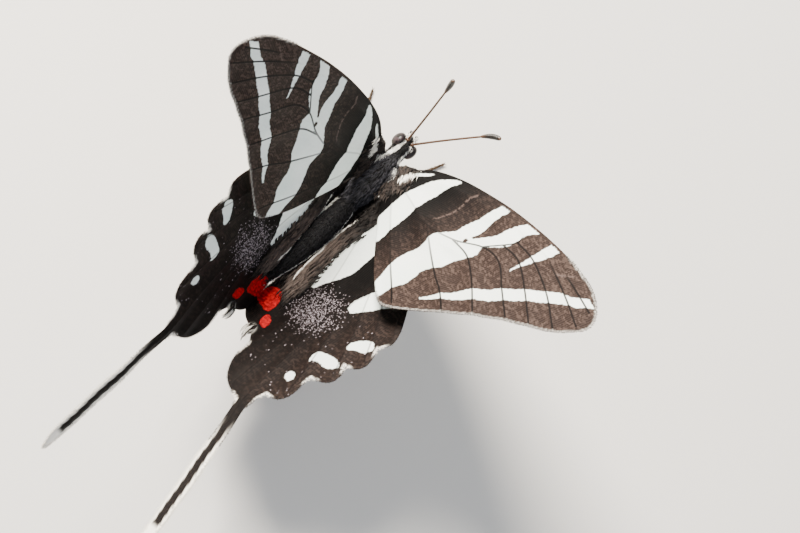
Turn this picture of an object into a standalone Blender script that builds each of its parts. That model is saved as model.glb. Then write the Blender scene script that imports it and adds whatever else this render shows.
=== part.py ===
# Zebra swallowtail butterfly, life size, standing with its wings raised in a V.
# Metres, +Z up, +Y towards the head, +X to the butterfly's own right.
# The numbers below are millimetres in the body's frame, whose zero is the middle of the thorax.
import math

import bmesh
import bpy
from mathutils import Matrix, Vector
from mathutils.bvhtree import BVHTree
from mathutils.geometry import delaunay_2d_cdt

MM = 0.001
GAP = 0.3               # left between two pieces that meet
STANDING_HEIGHT = 7.6   # middle of the thorax above the floor

THORAX = {
    "rear": -3.4, "front": 4.1, "half_width": 1.72, "half_height": 2.1,
    "height": -0.75, "neck_rise": 0.75, "sides": 20, "rings": 11,
    "end_share": 0.93, "fullness": 2.6,
}
ABDOMEN = {
    "length": 14.4, "half_width": 1.62, "half_height": 1.7, "height": -1.1,
    "droop": 2.5, "lean": -0.65, "segments": 7, "groove": 0.07, "sides": 18,
    "start_size": 0.74, "belly_size": 0.30, "belly_span": 1.25, "belly_lead": 0.8,
    "taper_from": 3.2, "taper_power": 0.62, "tip_size": 0.16, "rings_per_segment": 3,
}
# The head's turn is to the left and its roll to the right, in degrees.
HEAD = {
    "rear": 4.4, "front": 7.2, "half_width": 0.72, "half_height": 1.12, "height": 0.1,
    "droop": 0.25, "round_width": 1.25, "widest_at": 0.9, "end_share": 0.88, "fullness": 2.3,
    "sides": 16, "rings": 8, "turn": -1.0, "roll": 9.0,
}
EYE = {"along": 5.85, "height": 0.25, "radius": 0.95, "bulge": 0.66, "sides": 16, "rings": 5}
ANTENNA = {
    "root": (0.36, 6.4, 0.75), "reach": (4.13, 5.69, 10.0), "bow": (-0.25, -0.2, -0.5),
    "hook": 0.8, "hook_share": 0.2, "radius": 0.25, "club_radius": 0.42, "club_length": 2.4,
    "club_start": 0.08, "club_fullness": 0.7, "tip_radius": 0.2, "sides": 8, "steps": 14,
}
PALP = {
    "root": (0.36, 6.7, -0.3), "reach": (0.1, 1.25, 0.75), "radius": 0.34, "sides": 8,
    "profile": [(0.0, 0.7), (0.25, 1.0), (0.55, 0.95), (0.85, 0.6), (1.0, 0.3)],
}
PROBOSCIS = {
    "root": (0.0, 6.5, -0.75), "coil_ahead": 0.25, "coil_below": 1.8, "coil_radius": 1.05,
    "shrink": 0.62, "start_angle": 70, "tube_radius": 0.25, "tip_radius": 0.15, "turns": 1.55,
    "sides": 8, "steps": 26,
}

# Each right leg: where it leaves the thorax, then the ends of coxa, femur, tibia and tarsus.
FLOOR = -STANDING_HEIGHT
LEG = {
    "coxa": 0.46, "femur": 0.36, "femur_end": 0.306, "knee": 0.30, "tibia": 0.27, "tarsus": 0.25,
    "tip": 0.16, "sides": 8, "round_off": 0.45, "sole_share": 0.85, "heel_share": 0.14,
    "joints": 5, "joint_taper": 0.05, "joint_neck": 0.84, "joint_step": 0.03,
}
LEGS = {
    "fore": [(0.62, 2.1, -2.2), (1.15, 2.6, -3.7), (3.0, 5.3, -2.8), (4.7, 7.7, -6.8),
             (6.1, 10.9, FLOOR + 0.2)],
    "mid": [(0.7, -0.3, -2.4), (1.5, -0.5, -3.9), (5.0, -0.1, -2.7), (7.3, -0.5, -6.8),
            (10.7, -1.5, FLOOR + 0.2)],
    "hind": [(0.66, -2.3, -2.2), (1.3, -3.1, -3.8), (3.7, -6.4, -2.9), (5.2, -9.9, -6.8),
             (6.5, -14.0, FLOOR + 0.2)],
}

# Both wing shapes are drawn flat: first number outwards from the hinge, second towards the head.
WING_THICKNESS = 0.5
VEIN_HEIGHT = 0.16
VEIN_HALF_WIDTH = 0.36
BOW_REACH = 40.0
EDGE_STEP = 1.7
VEIN_STEP = 2.5
GRID_STEP = 3.3
ROW_STEP = 2.87
# How near a net point may come to the wing's edge, and to the next point.
VEIN_ROOM, VEIN_NEAR = 0.25, 0.22
FLANK_ROOM, FLANK_NEAR, FLANK_CLEAR = 0.3, 0.2, 0.8
GRID_ROOM, GRID_NEAR = 0.9, 1.3
ROOT_POINTS = 4
ROOT_SEARCH_FROM = -1.5
SEARCH_STEP = 0.02
RIM_POINTS = 12

FOREWING = {
    "hinge": (1.7, 1.5, 0.8),
    "root": (2.3, -1.1),
    "outline": [
        [(0.7, 3.3), (2.2, 5.0), (4.3, 6.4), (8.0, 8.2), (12.4, 10.0), (17.9, 11.8), (22.6, 13.0),
         (27.4, 14.0), (31.4, 14.4), (34.3, 14.1), (36.3, 13.4), (37.3, 12.5), (37.5, 11.5),
         (37.0, 10.4), (35.4, 8.2), (32.5, 5.6), (30.2, 3.7), (28.0, 1.5), (25.8, -1.0),
         (23.8, -3.2), (22.0, -5.4), (20.9, -6.6), (19.6, -7.4), (18.2, -7.5), (15.0, -6.8),
         (11.0, -5.5), (7.0, -4.0), (3.2, -2.4)],
    ],
    "veins": {
        "costa": [(0.7, 3.3), (2.2, 5.0), (4.3, 6.4), (8.0, 8.2), (12.4, 10.0), (17.9, 11.8),
                  (22.6, 13.0), (27.4, 14.0)],
        "radius": [(1.2, 2.1), (5.0, 5.1), (10.0, 7.5), (15.0, 9.3), (19.5, 10.6), (24.0, 11.6),
                   (31.2, 11.4), (36.6, 10.9)],
        "radius_1": [(13.5, 8.8), (18.0, 10.7), (22.0, 12.2)],
        "radius_2": [(17.0, 9.9), (22.0, 11.8), (27.5, 13.1)],
        "radius_4": [(24.0, 11.6), (29.0, 12.6), (35.6, 12.9)],
        "cell_end": [(19.5, 10.6), (20.2, 9.5), (19.6, 7.9), (18.3, 5.7)],
        "media_1": [(20.2, 9.5), (24.0, 10.1), (29.8, 9.7), (35.2, 8.5)],
        "media_2": [(19.6, 7.9), (23.0, 8.6), (28.0, 7.7), (32.9, 6.4)],
        "cubitus": [(1.2, 0.7), (5.0, 0.9), (10.5, 1.3), (14.8, 3.1), (18.3, 5.7), (21.7, 6.6),
                    (26.1, 5.5), (30.4, 4.4)],
        "cubitus_1": [(14.8, 3.1), (18.0, 3.7), (20.7, 3.4), (23.9, 2.6), (27.4, 1.4)],
        "cubitus_2": [(10.5, 1.3), (15.0, 0.3), (19.3, -0.5), (21.9, -0.8), (24.9, -1.6)],
        "anal": [(1.2, -0.4), (7.0, -2.2), (13.0, -4.1), (18.0, -5.5), (20.4, -6.3)],
    },
    "bow": 0.7,
}

TAIL_LINE = [(11.9, -28.6), (13.4, -31.9), (14.9, -35.1), (16.5, -38.9), (18.0, -42.4),
             (19.4, -45.8), (20.4, -48.9)]
TAIL = {"half_width": 0.903, "end_half_width": 0.525, "step": 3.0, "tip": 0.7, "start": (13.0, -27.4)}
HINDWING = {
    "hinge": (2.55, -1.5, -0.2),
    "root": (1.1, -1.8),
    "outline": [
        [(2.8, 1.6), (6.5, 1.2), (10.0, -0.8), (13.8, -4.3), (17.0, -8.2), (18.9, -10.4),
         (19.7, -11.8), (19.6, -12.8), (18.8, -13.8)],
        [(18.8, -13.8), (19.5, -14.9), (19.9, -16.3), (19.2, -17.3), (17.4, -17.8)],
        [(17.4, -17.8), (18.4, -18.9), (18.5, -20.2), (17.6, -21.0), (15.6, -21.4)],
        [(15.6, -21.4), (15.8, -22.6), (16.1, -24.6), (15.2, -25.9), (13.2, -26.2)],
        "tail",
        [(10.9, -28.9), (9.0, -28.4), (7.4, -27.8), (6.1, -26.9), (5.1, -25.5), (4.7, -24.1),
         (4.7, -22.8)],
        [(4.7, -22.8), (3.9, -21.6), (2.8, -20.7), (1.7, -19.7), (1.0, -18.2), (0.7, -16.0),
         (0.8, -13.0), (0.9, -9.0), (0.7, -5.0), (0.4, -3.2)],
    ],
    "veins": {
        "subcosta": [(1.1, 0.1), (5.0, 0.3), (9.0, -1.8), (14.0, -6.0), (19.1, -11.6)],
        "sector": [(1.1, -0.8), (5.0, -1.8), (9.5, -5.5), (15.0, -10.7), (19.2, -16.0)],
        "media_1": [(9.5, -5.5), (11.0, -9.2), (14.8, -14.8), (17.9, -19.9)],
        "media_2": [(11.0, -9.2), (10.4, -12.0), (13.2, -18.5), (15.5, -24.8)],
        "media_3": [(10.4, -12.0), (8.8, -13.6), (10.3, -20.5), (11.6, -27.5)] + TAIL_LINE[1:],
        "cubitus": [(1.1, -1.5), (3.4, -6.5), (5.6, -11.5), (7.0, -14.8), (8.0, -21.0),
                    (8.4, -27.6)],
        "cell_end": [(8.8, -13.6), (7.0, -14.8)],
        "cubitus_2": [(5.6, -11.5), (5.7, -18.0), (5.3, -24.6)],
        "anal": [(1.0, -4.0), (1.7, -10.0), (2.9, -19.8)],
    },
    "bow": -0.6,
}

# How each pair of wings is held, in degrees: lift from level, tip of the plane, sweep in the plane.
WING_HOLD = {
    "forewing": {"right": (53.6, -2.8, -28.8), "left": (49.8, -0.9, -39.1)},
    "hindwing": {"right": (54.6, -2.0, -10.4), "left": (51.5, -2.3, -10.9)},
}

MATERIALS = {
    "black_brown_scales": ((0.018, 0.013, 0.012), 0.55),
    "black_body_fur": ((0.014, 0.013, 0.014), 0.8),
    "pale_abdomen_fur": ((0.60, 0.60, 0.52), 0.8),
    "dark_eye": ((0.010, 0.008, 0.010), 0.15),
    "brown_cuticle": ((0.055, 0.026, 0.014), 0.4),
    "pale_leg_scales": ((0.45, 0.40, 0.32), 0.6),
}


def clear_scene():
    for thing in list(bpy.data.objects):
        bpy.data.objects.remove(thing)


def make_material(name):
    colour, roughness = MATERIALS[name]
    material = bpy.data.materials.new(name)
    material.use_nodes = True
    shader = material.node_tree.nodes["Principled BSDF"]
    shader.inputs["Base Color"].default_value = (*colour, 1.0)
    shader.inputs["Roughness"].default_value = roughness
    shader.inputs["Metallic"].default_value = 0.0
    return material


def add_node(name, points, faces, material, smooth=True):
    mesh = bpy.data.meshes.new(name)
    mesh.from_pydata([Vector(p) * MM for p in points], [], faces)
    work = bmesh.new()
    work.from_mesh(mesh)
    bmesh.ops.recalc_face_normals(work, faces=work.faces)
    bmesh.ops.triangulate(work, faces=work.faces)
    if work.calc_volume(signed=True) < 0:
        bmesh.ops.reverse_faces(work, faces=work.faces)
    work.to_mesh(mesh)
    work.free()
    if smooth:
        mesh.shade_smooth()
        mesh.set_sharp_from_angle(angle=math.radians(40))
    mesh.materials.append(material)
    node = bpy.data.objects.new(name, mesh)
    bpy.context.collection.objects.link(node)
    return node


def surface_of(node):
    points = [v.co / MM for v in node.data.vertices]
    return BVHTree.FromPolygons(points, [tuple(p.vertices) for p in node.data.polygons])


def clearance(surface, point):
    place, normal, _, distance = surface.find_nearest(point)
    inside = (Vector(point) - place).dot(normal) < 0
    return -distance if inside else distance


def smooth_line(points, step):
    # A curve through the points (Catmull-Rom), read off at about the given step.
    nodes = [Vector(p) for p in points]
    ends = [2 * nodes[0] - nodes[1]] + nodes + [2 * nodes[-1] - nodes[-2]]
    line = []
    for i in range(1, len(ends) - 2):
        a, b, c, d = ends[i - 1:i + 3]
        count = max(1, round((c - b).length / step))
        for k in range(count):
            t = k / count
            line.append(0.5 * (2 * b + (c - a) * t + (2 * a - 5 * b + 4 * c - d) * t * t
                               + (3 * b - a - 3 * c + d) * t ** 3))
    return line + [nodes[-1]]


def ring_faces(ring_count, sides):
    faces = []
    for i in range(ring_count - 1):
        for k in range(sides):
            a, b = i * sides + k, i * sides + (k + 1) % sides
            faces.append((a, b, b + sides, a + sides))
    faces.append(tuple(range(sides))[::-1])
    last = (ring_count - 1) * sides
    faces.append(tuple(range(last, last + sides)))
    return faces


def loft(name, rings, material):
    points = [p for ring in rings for p in ring]
    return add_node(name, points, ring_faces(len(rings), len(rings[0])), material)


def ellipse_ring(centre, half_width, half_height, sides, widest=None):
    # A ring across the body; widest, where given, cuts its sides flat.
    ring = []
    for k in range(sides):
        turn = 2 * math.pi * (k + 0.5) / sides
        x = half_width * math.cos(turn)
        if widest is not None:
            x = max(-widest, min(widest, x))
        ring.append(Vector((centre[0] + x, centre[1], centre[2] + half_height * math.sin(turn))))
    return ring


def make_thorax(material):
    t = THORAX
    middle = (t["rear"] + t["front"]) / 2
    reach = (t["front"] - t["rear"]) / 2
    rings = []
    for i in range(t["rings"]):
        s = -1 + 2 * i / (t["rings"] - 1)
        y = middle + s * reach
        swell = (1 - abs(t["end_share"] * s) ** t["fullness"]) ** 0.5
        lift = t["neck_rise"] * max(0.0, s) ** 2
        centre = (0.0, y, t["height"] + lift)
        rings.append(ellipse_ring(centre, t["half_width"] * swell, t["half_height"] * swell,
                                  t["sides"]))
    return loft("thorax", rings, material)


def abdomen_centre(s):
    start = THORAX["rear"] - GAP
    y = start - ABDOMEN["length"] * s
    return Vector((ABDOMEN["lean"] * s * s, y, ABDOMEN["height"] - ABDOMEN["droop"] * s * s))


def make_abdomen(material):
    a = ABDOMEN
    rings = []
    steps = a["rings_per_segment"] * a["segments"]
    for i in range(steps + 1):
        s = i / steps
        belly = math.sin(math.pi * min(1.0, s * a["belly_span"]) ** a["belly_lead"])
        swell = a["start_size"] + a["belly_size"] * belly
        taper = (1 - s ** a["taper_from"]) ** a["taper_power"] if s < 1 else 0.0
        at_groove = i % a["rings_per_segment"] == 0 and 0 < i < steps
        size = max(a["tip_size"], swell * taper) * (1 - a["groove"] * at_groove)
        rings.append(ellipse_ring(abdomen_centre(s), a["half_width"] * size,
                                  a["half_height"] * size, a["sides"]))
    return loft("abdomen", rings, material)


def make_head(material):
    h = HEAD
    rings = []
    for i in range(h["rings"]):
        s = i / (h["rings"] - 1)
        y = h["rear"] + (h["front"] - h["rear"]) * s
        swell = (1 - (abs(2 * s - h["widest_at"]) * h["end_share"]) ** h["fullness"]) ** 0.5
        centre = (0.0, y, h["height"] - h["droop"] * s * s)
        rings.append(ellipse_ring(centre, h["round_width"] * h["half_width"] * swell,
                                  h["half_height"] * swell, h["sides"], h["half_width"]))
    return loft("head", rings, material)


def make_eye(name, side, material):
    # A faceted dome whose flat back faces the flat side of the head.
    e = EYE
    start = HEAD["half_width"] + GAP
    rings = []
    for i in range(e["rings"]):
        turn = math.pi / 2 * i / e["rings"]
        x = side * (start + e["bulge"] * math.sin(turn))
        size = e["radius"] * math.cos(turn)
        ring = []
        for k in range(e["sides"]):
            around = 2 * math.pi * k / e["sides"]
            ring.append(Vector((x, e["along"] + size * math.cos(around),
                                e["height"] + size * math.sin(around))))
        rings.append(ring)
    return loft(name, rings, material)


def tube_rings(path, radii, sides, floor=None):
    # Rings square to the path, kept from twisting; below the floor level they are cut flat.
    path = [Vector(p) for p in path]
    rings = []
    across = None
    for i, centre in enumerate(path):
        ahead = path[min(i + 1, len(path) - 1)]
        behind = path[max(i - 1, 0)]
        along = (ahead - behind).normalized()
        if across is None:
            across = along.orthogonal().normalized()
        across = (across - along * across.dot(along)).normalized()
        other = along.cross(across)
        ring = []
        for k in range(sides):
            turn = 2 * math.pi * (k + 0.5) / sides
            point = centre + radii[i] * (math.cos(turn) * across + math.sin(turn) * other)
            if floor is not None:
                point.z = max(point.z, floor)
            ring.append(point)
        rings.append(ring)
    return rings


def start_clear(surface, path, radius):
    # Walks along the first stretch of a path until a disc there clears the surface by the gap.
    start, toward = Vector(path[0]), Vector(path[1])
    along = (toward - start).normalized()
    across = along.orthogonal().normalized()
    rim = [radius * (math.cos(a) * across + math.sin(a) * along.cross(across))
           for a in [2 * math.pi * k / RIM_POINTS for k in range(RIM_POINTS)]]
    walked = 0.0
    while min(clearance(surface, start + along * walked + r) for r in rim) < GAP:
        walked += SEARCH_STEP
    return start + along * walked


def bent_path(joints, round_off):
    # Straight lengths with each joint rounded by two points.
    path = [Vector(joints[0])]
    for a, b, c in zip(joints, joints[1:], joints[2:]):
        a, b, c = Vector(a), Vector(b), Vector(c)
        path.append(b - (b - a).normalized() * round_off)
        path.append(b + (c - b).normalized() * round_off)
    path.append(Vector(joints[-1]))
    return path


def make_leg(name, side, joints, thorax_surface, material):
    joints = [Vector((side * x, y, z)) for x, y, z in joints]
    joints[0] = start_clear(thorax_surface, joints, LEG["coxa"])
    path = bent_path(joints, LEG["round_off"])
    ankle, tip = path[-2], path[-1]
    # The tarsus is cut into joints that lie along the floor, each narrower at its start.
    sole = Vector((ankle.x, ankle.y, FLOOR + LEG["tarsus"] * LEG["sole_share"]))
    sole += (tip - ankle) * LEG["heel_share"]
    path = path[:-2] + [sole]
    radii = [LEG["coxa"], LEG["coxa"], LEG["femur"], LEG["femur_end"], LEG["knee"], LEG["tibia"],
             LEG["tarsus"]]
    for k in range(1, LEG["joints"]):
        point = sole.lerp(tip, k / LEG["joints"])
        path += [point - (tip - sole) * LEG["joint_step"], point]
        taper = LEG["joint_taper"] * k
        radii += [LEG["tarsus"] * (1 - taper), LEG["tarsus"] * (LEG["joint_neck"] - taper)]
    path.append(tip)
    radii.append(LEG["tip"])
    return loft(name, tube_rings(path, radii, LEG["sides"], FLOOR), material)


def make_antenna(name, side, head_surface, material):
    a = ANTENNA
    root = Vector((side * a["root"][0], a["root"][1], a["root"][2]))
    reach = Vector((side * a["reach"][0], a["reach"][1], a["reach"][2]))
    root = start_clear(head_surface, [root, root + reach], a["radius"])
    bow = Vector((side * a["bow"][0], a["bow"][1], a["bow"][2]))
    path, radii = [], []
    for i in range(a["steps"] + 1):
        s = i / a["steps"]
        into_hook = max(0.0, 1 - (1 - s) / a["hook_share"])
        hook = Vector((0.0, -a["hook"] * into_hook ** 2, 0.0))
        path.append(root + reach * s + bow * math.sin(math.pi * s) + hook)
        into_club = max(0.0, 1 - (1 - s) * reach.length / a["club_length"])
        swell = 0.0
        if into_club > 0:
            share = a["club_start"] + (1 - 2 * a["club_start"]) * into_club
            swell = math.sin(math.pi * share) ** a["club_fullness"]
        radii.append(a["radius"] + (a["club_radius"] - a["radius"]) * swell)
    radii[-1] = a["tip_radius"]
    return loft(name, tube_rings(path, radii, a["sides"]), material)


def make_palp(name, side, head_surface, material):
    p = PALP
    root = Vector((side * p["root"][0], p["root"][1], p["root"][2]))
    reach = Vector((side * p["reach"][0], p["reach"][1], p["reach"][2]))
    root = start_clear(head_surface, [root, root + reach], p["radius"] * p["profile"][0][1])
    path = [root + reach * s for s, _ in p["profile"]]
    radii = [p["radius"] * size for _, size in p["profile"]]
    return loft(name, tube_rings(path, radii, p["sides"]), material)


def make_proboscis(head_surface, material):
    # A watch-spring coil under the front of the head.
    p = PROBOSCIS
    root = Vector(p["root"])
    centre = root + Vector((0.0, p["coil_ahead"], -p["coil_below"]))
    path, radii = [], []
    for i in range(p["steps"] + 1):
        s = i / p["steps"]
        turn = math.radians(p["start_angle"]) - 2 * math.pi * p["turns"] * s
        size = p["coil_radius"] * (1 - p["shrink"] * s)
        path.append(centre + Vector((0.0, size * math.cos(turn), size * math.sin(turn))))
        radii.append(p["tube_radius"] + (p["tip_radius"] - p["tube_radius"]) * s)
    neck = start_clear(head_surface, [root, path[0]], p["tube_radius"])
    path.insert(0, neck)
    radii.insert(0, p["tube_radius"])
    return loft("proboscis", tube_rings(path, radii, p["sides"]), material)


def distance_to_line(point, line):
    best = math.inf
    for a, b in zip(line, line[1:]):
        span = b - a
        share = max(0.0, min(1.0, (point - a).dot(span) / span.length_squared))
        best = min(best, (a + span * share - point).length)
    return best


def tail_outline():
    # Round the tail: down its outer side, over the tip and back up its inner side.
    line = smooth_line(TAIL_LINE, TAIL["step"])
    outer, inner = [], []
    for i, point in enumerate(line[1:], 1):
        along = (line[min(i + 1, len(line) - 1)] - line[i - 1]).normalized()
        side = Vector((-along.y, along.x))
        width = TAIL["half_width"] if i < len(line) - 1 else TAIL["end_half_width"]
        outer.append(point + side * width)
        inner.append(point - side * width)
    tip = line[-1] + (line[-1] - line[-2]).normalized() * TAIL["tip"]
    return outer + [tip] + inner[::-1]


def wing_outline(spec):
    edge = []
    for run in spec["outline"]:
        if run == "tail":
            edge += [Vector(TAIL["start"])] + tail_outline()
            continue
        piece = smooth_line(run, EDGE_STEP)
        if edge and (edge[-1] - piece[0]).length < 0.2:
            piece = piece[1:]
        edge += piece
    return edge


def inside_outline(point, edge):
    inside = False
    for a, b in zip(edge, edge[1:] + edge[:1]):
        if (a.y > point.y) != (b.y > point.y):
            if point.x < a.x + (point.y - a.y) / (b.y - a.y) * (b.x - a.x):
                inside = not inside
    return inside


class WingPlane:
    # Turns flat wing coordinates into the body's frame, with the wing's slight bow.
    def __init__(self, spec, hold, side):
        lift, tip, sweep = [math.radians(a) for a in hold]
        self.turn = (Matrix.Rotation(-lift, 3, "Y") @ Matrix.Rotation(tip, 3, "X")
                     @ Matrix.Rotation(sweep, 3, "Z"))
        self.hinge = Vector(spec["hinge"])
        self.bow = spec["bow"]
        self.side = side

    def place(self, flat, offset):
        bowed = self.bow * math.sin(math.pi * min(1.0, flat.length / BOW_REACH)) + offset
        point = self.turn @ Vector((flat.x, flat.y, bowed)) + self.hinge
        return Vector((self.side * point.x, point.y, point.z))


def root_edge(spec, plane, thorax_surface):
    # The hinge side of the wing, cut back until both of its faces clear the thorax by the gap.
    front, rear = spec["root"]
    edge = []
    for k in range(ROOT_POINTS):
        v = rear + (front - rear) * k / (ROOT_POINTS - 1)
        u = ROOT_SEARCH_FROM
        while min(clearance(thorax_surface, plane.place(Vector((u, v)), h))
                  for h in (-WING_THICKNESS / 2, WING_THICKNESS / 2)) < GAP:
            u += SEARCH_STEP
        edge.append(Vector((u, v)))
    return edge


class WingNet:
    # Gathers the flat net's points: first the edge, then the veins, their flanks and a grid.
    def __init__(self, edge, veins):
        self.edge = edge
        self.closed_edge = edge + [edge[0]]
        self.veins = veins
        self.flats = list(edge)
        self.edges = [(i, (i + 1) % len(edge)) for i in range(len(edge))]

    def free_spot(self, point, room, near):
        return (inside_outline(point, self.edge)
                and distance_to_line(point, self.closed_edge) > room
                and all((point - p).length > near for p in self.flats))

    def add_run(self, points, room, near):
        # A run of joined points; one that falls on a point of the net uses that point.
        last = None
        for point in points:
            match = [i for i, p in enumerate(self.flats) if (p - point).length < near]
            if match:
                index = min(match, key=lambda i: (self.flats[i] - point).length)
            elif self.free_spot(point, room, near):
                self.flats.append(point)
                index = len(self.flats) - 1
            else:
                last = None
                continue
            if last is not None and last != index:
                self.edges.append((last, index))
            last = index

    def add_flanks(self, key):
        # A line down each side of a vein, broken where another vein comes close.
        line = self.veins[key]
        others = [other for k, other in self.veins.items() if k != key]
        for hand in (-1, 1):
            run = []
            for i, point in enumerate(line):
                along = (line[min(i + 1, len(line) - 1)] - line[max(i - 1, 0)]).normalized()
                spot = point + hand * VEIN_HALF_WIDTH * Vector((-along.y, along.x))
                if all(distance_to_line(spot, other) > FLANK_CLEAR for other in others):
                    run.append(spot)
                else:
                    self.add_run(run, FLANK_ROOM, FLANK_NEAR)
                    run = []
            self.add_run(run, FLANK_ROOM, FLANK_NEAR)

    def add_grid(self):
        low_u, high_u = min(p.x for p in self.edge), max(p.x for p in self.edge)
        v, high_v = min(p.y for p in self.edge), max(p.y for p in self.edge)
        shift = 0.0
        while v < high_v:
            u = low_u + shift
            while u < high_u:
                if self.free_spot(Vector((u, v)), GRID_ROOM, GRID_NEAR):
                    self.flats.append(Vector((u, v)))
                u += GRID_STEP
            v += ROW_STEP
            shift = GRID_STEP / 2 - shift

    def triangulate(self):
        for line in self.veins.values():
            self.add_run(line, VEIN_ROOM, VEIN_NEAR)
        for key in self.veins:
            self.add_flanks(key)
        self.add_grid()
        flats, _, triangles = delaunay_2d_cdt(self.flats, self.edges, [], 1, 0.001)[:3]
        return flats, [tuple(t) for t in triangles]


def wall_faces(triangles, count):
    # Joins the upper net's open edges to the lower net's, whose points follow count later.
    used = {(a, b) for t in triangles for a, b in zip(t, t[1:] + t[:1])}
    faces = []
    for a, b in sorted(used):
        if (b, a) not in used:
            faces.append((b, a, a + count))
            faces.append((b, a + count, b + count))
    return faces


def make_wing(name, spec, hold, side, thorax_surface, material):
    plane = WingPlane(spec, hold, side)
    edge = root_edge(spec, plane, thorax_surface) + wing_outline(spec)
    veins = {key: smooth_line(line, VEIN_STEP) for key, line in spec["veins"].items()}
    flats, triangles = WingNet(edge, veins).triangulate()
    top, bottom = [], []
    for flat in flats:
        near = min(distance_to_line(flat, line) for line in veins.values())
        height = WING_THICKNESS / 2 + VEIN_HEIGHT * max(0.0, 1 - near / VEIN_HALF_WIDTH)
        top.append(plane.place(flat, height))
        bottom.append(plane.place(flat, -height))
    count = len(flats)
    faces = triangles + [tuple(i + count for i in t[::-1]) for t in triangles]
    return add_node(name, top + bottom, faces + wall_faces(triangles, count), material, smooth=False)


def build():
    clear_scene()
    looks = {name: make_material(name) for name in MATERIALS}
    fur, scales = looks["black_body_fur"], looks["black_brown_scales"]
    thorax = make_thorax(fur)
    abdomen = make_abdomen(looks["pale_abdomen_fur"])
    head = make_head(fur)
    thorax_surface, head_surface = surface_of(thorax), surface_of(head)
    on_head = [head]
    on_body = [thorax, abdomen]
    for side, hand in ((1, "right"), (-1, "left")):
        on_head.append(make_eye("eye_" + hand, side, looks["dark_eye"]))
        on_head.append(make_antenna("antenna_" + hand, side, head_surface,
                                    looks["brown_cuticle"]))
        on_head.append(make_palp("palp_" + hand, side, head_surface, fur))
        for pair, joints in LEGS.items():
            on_body.append(make_leg("leg_" + pair + "_" + hand, side, joints, thorax_surface,
                                    looks["pale_leg_scales"]))
        for kind, spec in (("forewing", FOREWING), ("hindwing", HINDWING)):
            on_body.append(make_wing(kind + "_" + hand, spec, WING_HOLD[kind][hand], side,
                                     thorax_surface, scales))
    on_head.append(make_proboscis(head_surface, looks["brown_cuticle"]))

    # The head is turned and rolled on its neck.
    neck = bpy.data.objects.new("neck", None)
    bpy.context.collection.objects.link(neck)
    pivot = Vector((0.0, (THORAX["front"] + HEAD["rear"]) / 2, 0.0)) * MM
    for node in on_head:
        for vertex in node.data.vertices:
            vertex.co -= pivot
        node.parent = neck
    neck.rotation_euler = (0.0, math.radians(HEAD["roll"]), math.radians(HEAD["turn"]))

    # The whole butterfly stands on the floor with its box centred on the origin.
    stance = bpy.data.objects.new("stance", None)
    bpy.context.collection.objects.link(stance)
    neck.parent = stance
    neck.location = pivot
    for node in on_body:
        node.parent = stance
    bpy.context.view_layer.update()
    corners = [node.matrix_world @ v.co for node in on_body + on_head
               for v in node.data.vertices]
    middle_x = (min(c.x for c in corners) + max(c.x for c in corners)) / 2
    middle_y = (min(c.y for c in corners) + max(c.y for c in corners)) / 2
    stance.location = (-middle_x, -middle_y, STANDING_HEIGHT * MM)


build()
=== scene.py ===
from math import cos, pi, radians, sin

import bmesh
import bpy
import numpy as np
from mathutils import Matrix, Vector
from mathutils.geometry import delaunay_2d_cdt
from numpy.linalg import norm


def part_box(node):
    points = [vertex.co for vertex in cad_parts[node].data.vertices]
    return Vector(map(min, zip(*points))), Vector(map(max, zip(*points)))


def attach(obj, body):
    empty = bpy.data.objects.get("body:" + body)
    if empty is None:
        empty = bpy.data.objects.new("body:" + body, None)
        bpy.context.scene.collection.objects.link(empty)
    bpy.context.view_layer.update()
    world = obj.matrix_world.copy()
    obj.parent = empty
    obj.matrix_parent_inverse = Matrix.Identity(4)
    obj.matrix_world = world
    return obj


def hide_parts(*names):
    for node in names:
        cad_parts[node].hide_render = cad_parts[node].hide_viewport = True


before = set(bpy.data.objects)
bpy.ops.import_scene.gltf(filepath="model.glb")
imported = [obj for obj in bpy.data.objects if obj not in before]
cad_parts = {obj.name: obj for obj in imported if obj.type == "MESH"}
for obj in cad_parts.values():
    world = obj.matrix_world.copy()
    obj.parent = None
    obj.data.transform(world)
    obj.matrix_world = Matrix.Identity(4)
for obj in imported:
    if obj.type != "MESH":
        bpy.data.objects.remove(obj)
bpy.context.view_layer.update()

mm = 0.001
hands = {"right": 1, "left": -1}
stance = {
    "height": 7.6,          # middle of the thorax above the floor
    "thoraxAhead": 0.35,    # the thorax reaches this much further forward than back
    "headTurn": -1.0, "headRoll": 9.0, "neck": (0.0, 4.25, 0.0),   # degrees, and what it turns about
}
low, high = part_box("thorax")
bodyOrigin = np.array([(low[0] + high[0]) / 2, (low[1] + high[1]) / 2 - stance["thoraxAhead"] * mm,
                       stance["height"] * mm])


def place(points):
    return np.asarray(points, float) * mm + bodyOrigin


def turnAbout(axis, degrees):
    return np.array(Matrix.Rotation(radians(degrees), 3, axis))


def turnHead(points):
    turn = turnAbout("Z", stance["headTurn"]) @ turnAbout("Y", stance["headRoll"])
    pivot = np.array(stance["neck"])
    return (np.asarray(points, float) - pivot) @ turn.T + pivot


# Lines and flat shapes

def unit(rows):
    return rows / norm(rows, axis=1)[:, None]


def smoothLine(points, step=0.4):
    # a curve through the points, read off at about the given step
    nodes = np.asarray(points, float)
    ends = np.vstack([2 * nodes[0] - nodes[1], nodes, 2 * nodes[-1] - nodes[-2]])
    line = []
    for a, b, c, d in zip(ends, ends[1:], ends[2:], ends[3:]):
        count = max(1, round(float(norm(c - b)) / step))
        for k in range(count):
            t = k / count
            line.append(0.5 * (2 * b + (c - a) * t + (2 * a - 5 * b + 4 * c - d) * t ** 2
                               + (3 * b - a - 3 * c + d) * t ** 3))
    return np.array(line + [nodes[-1]])


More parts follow.
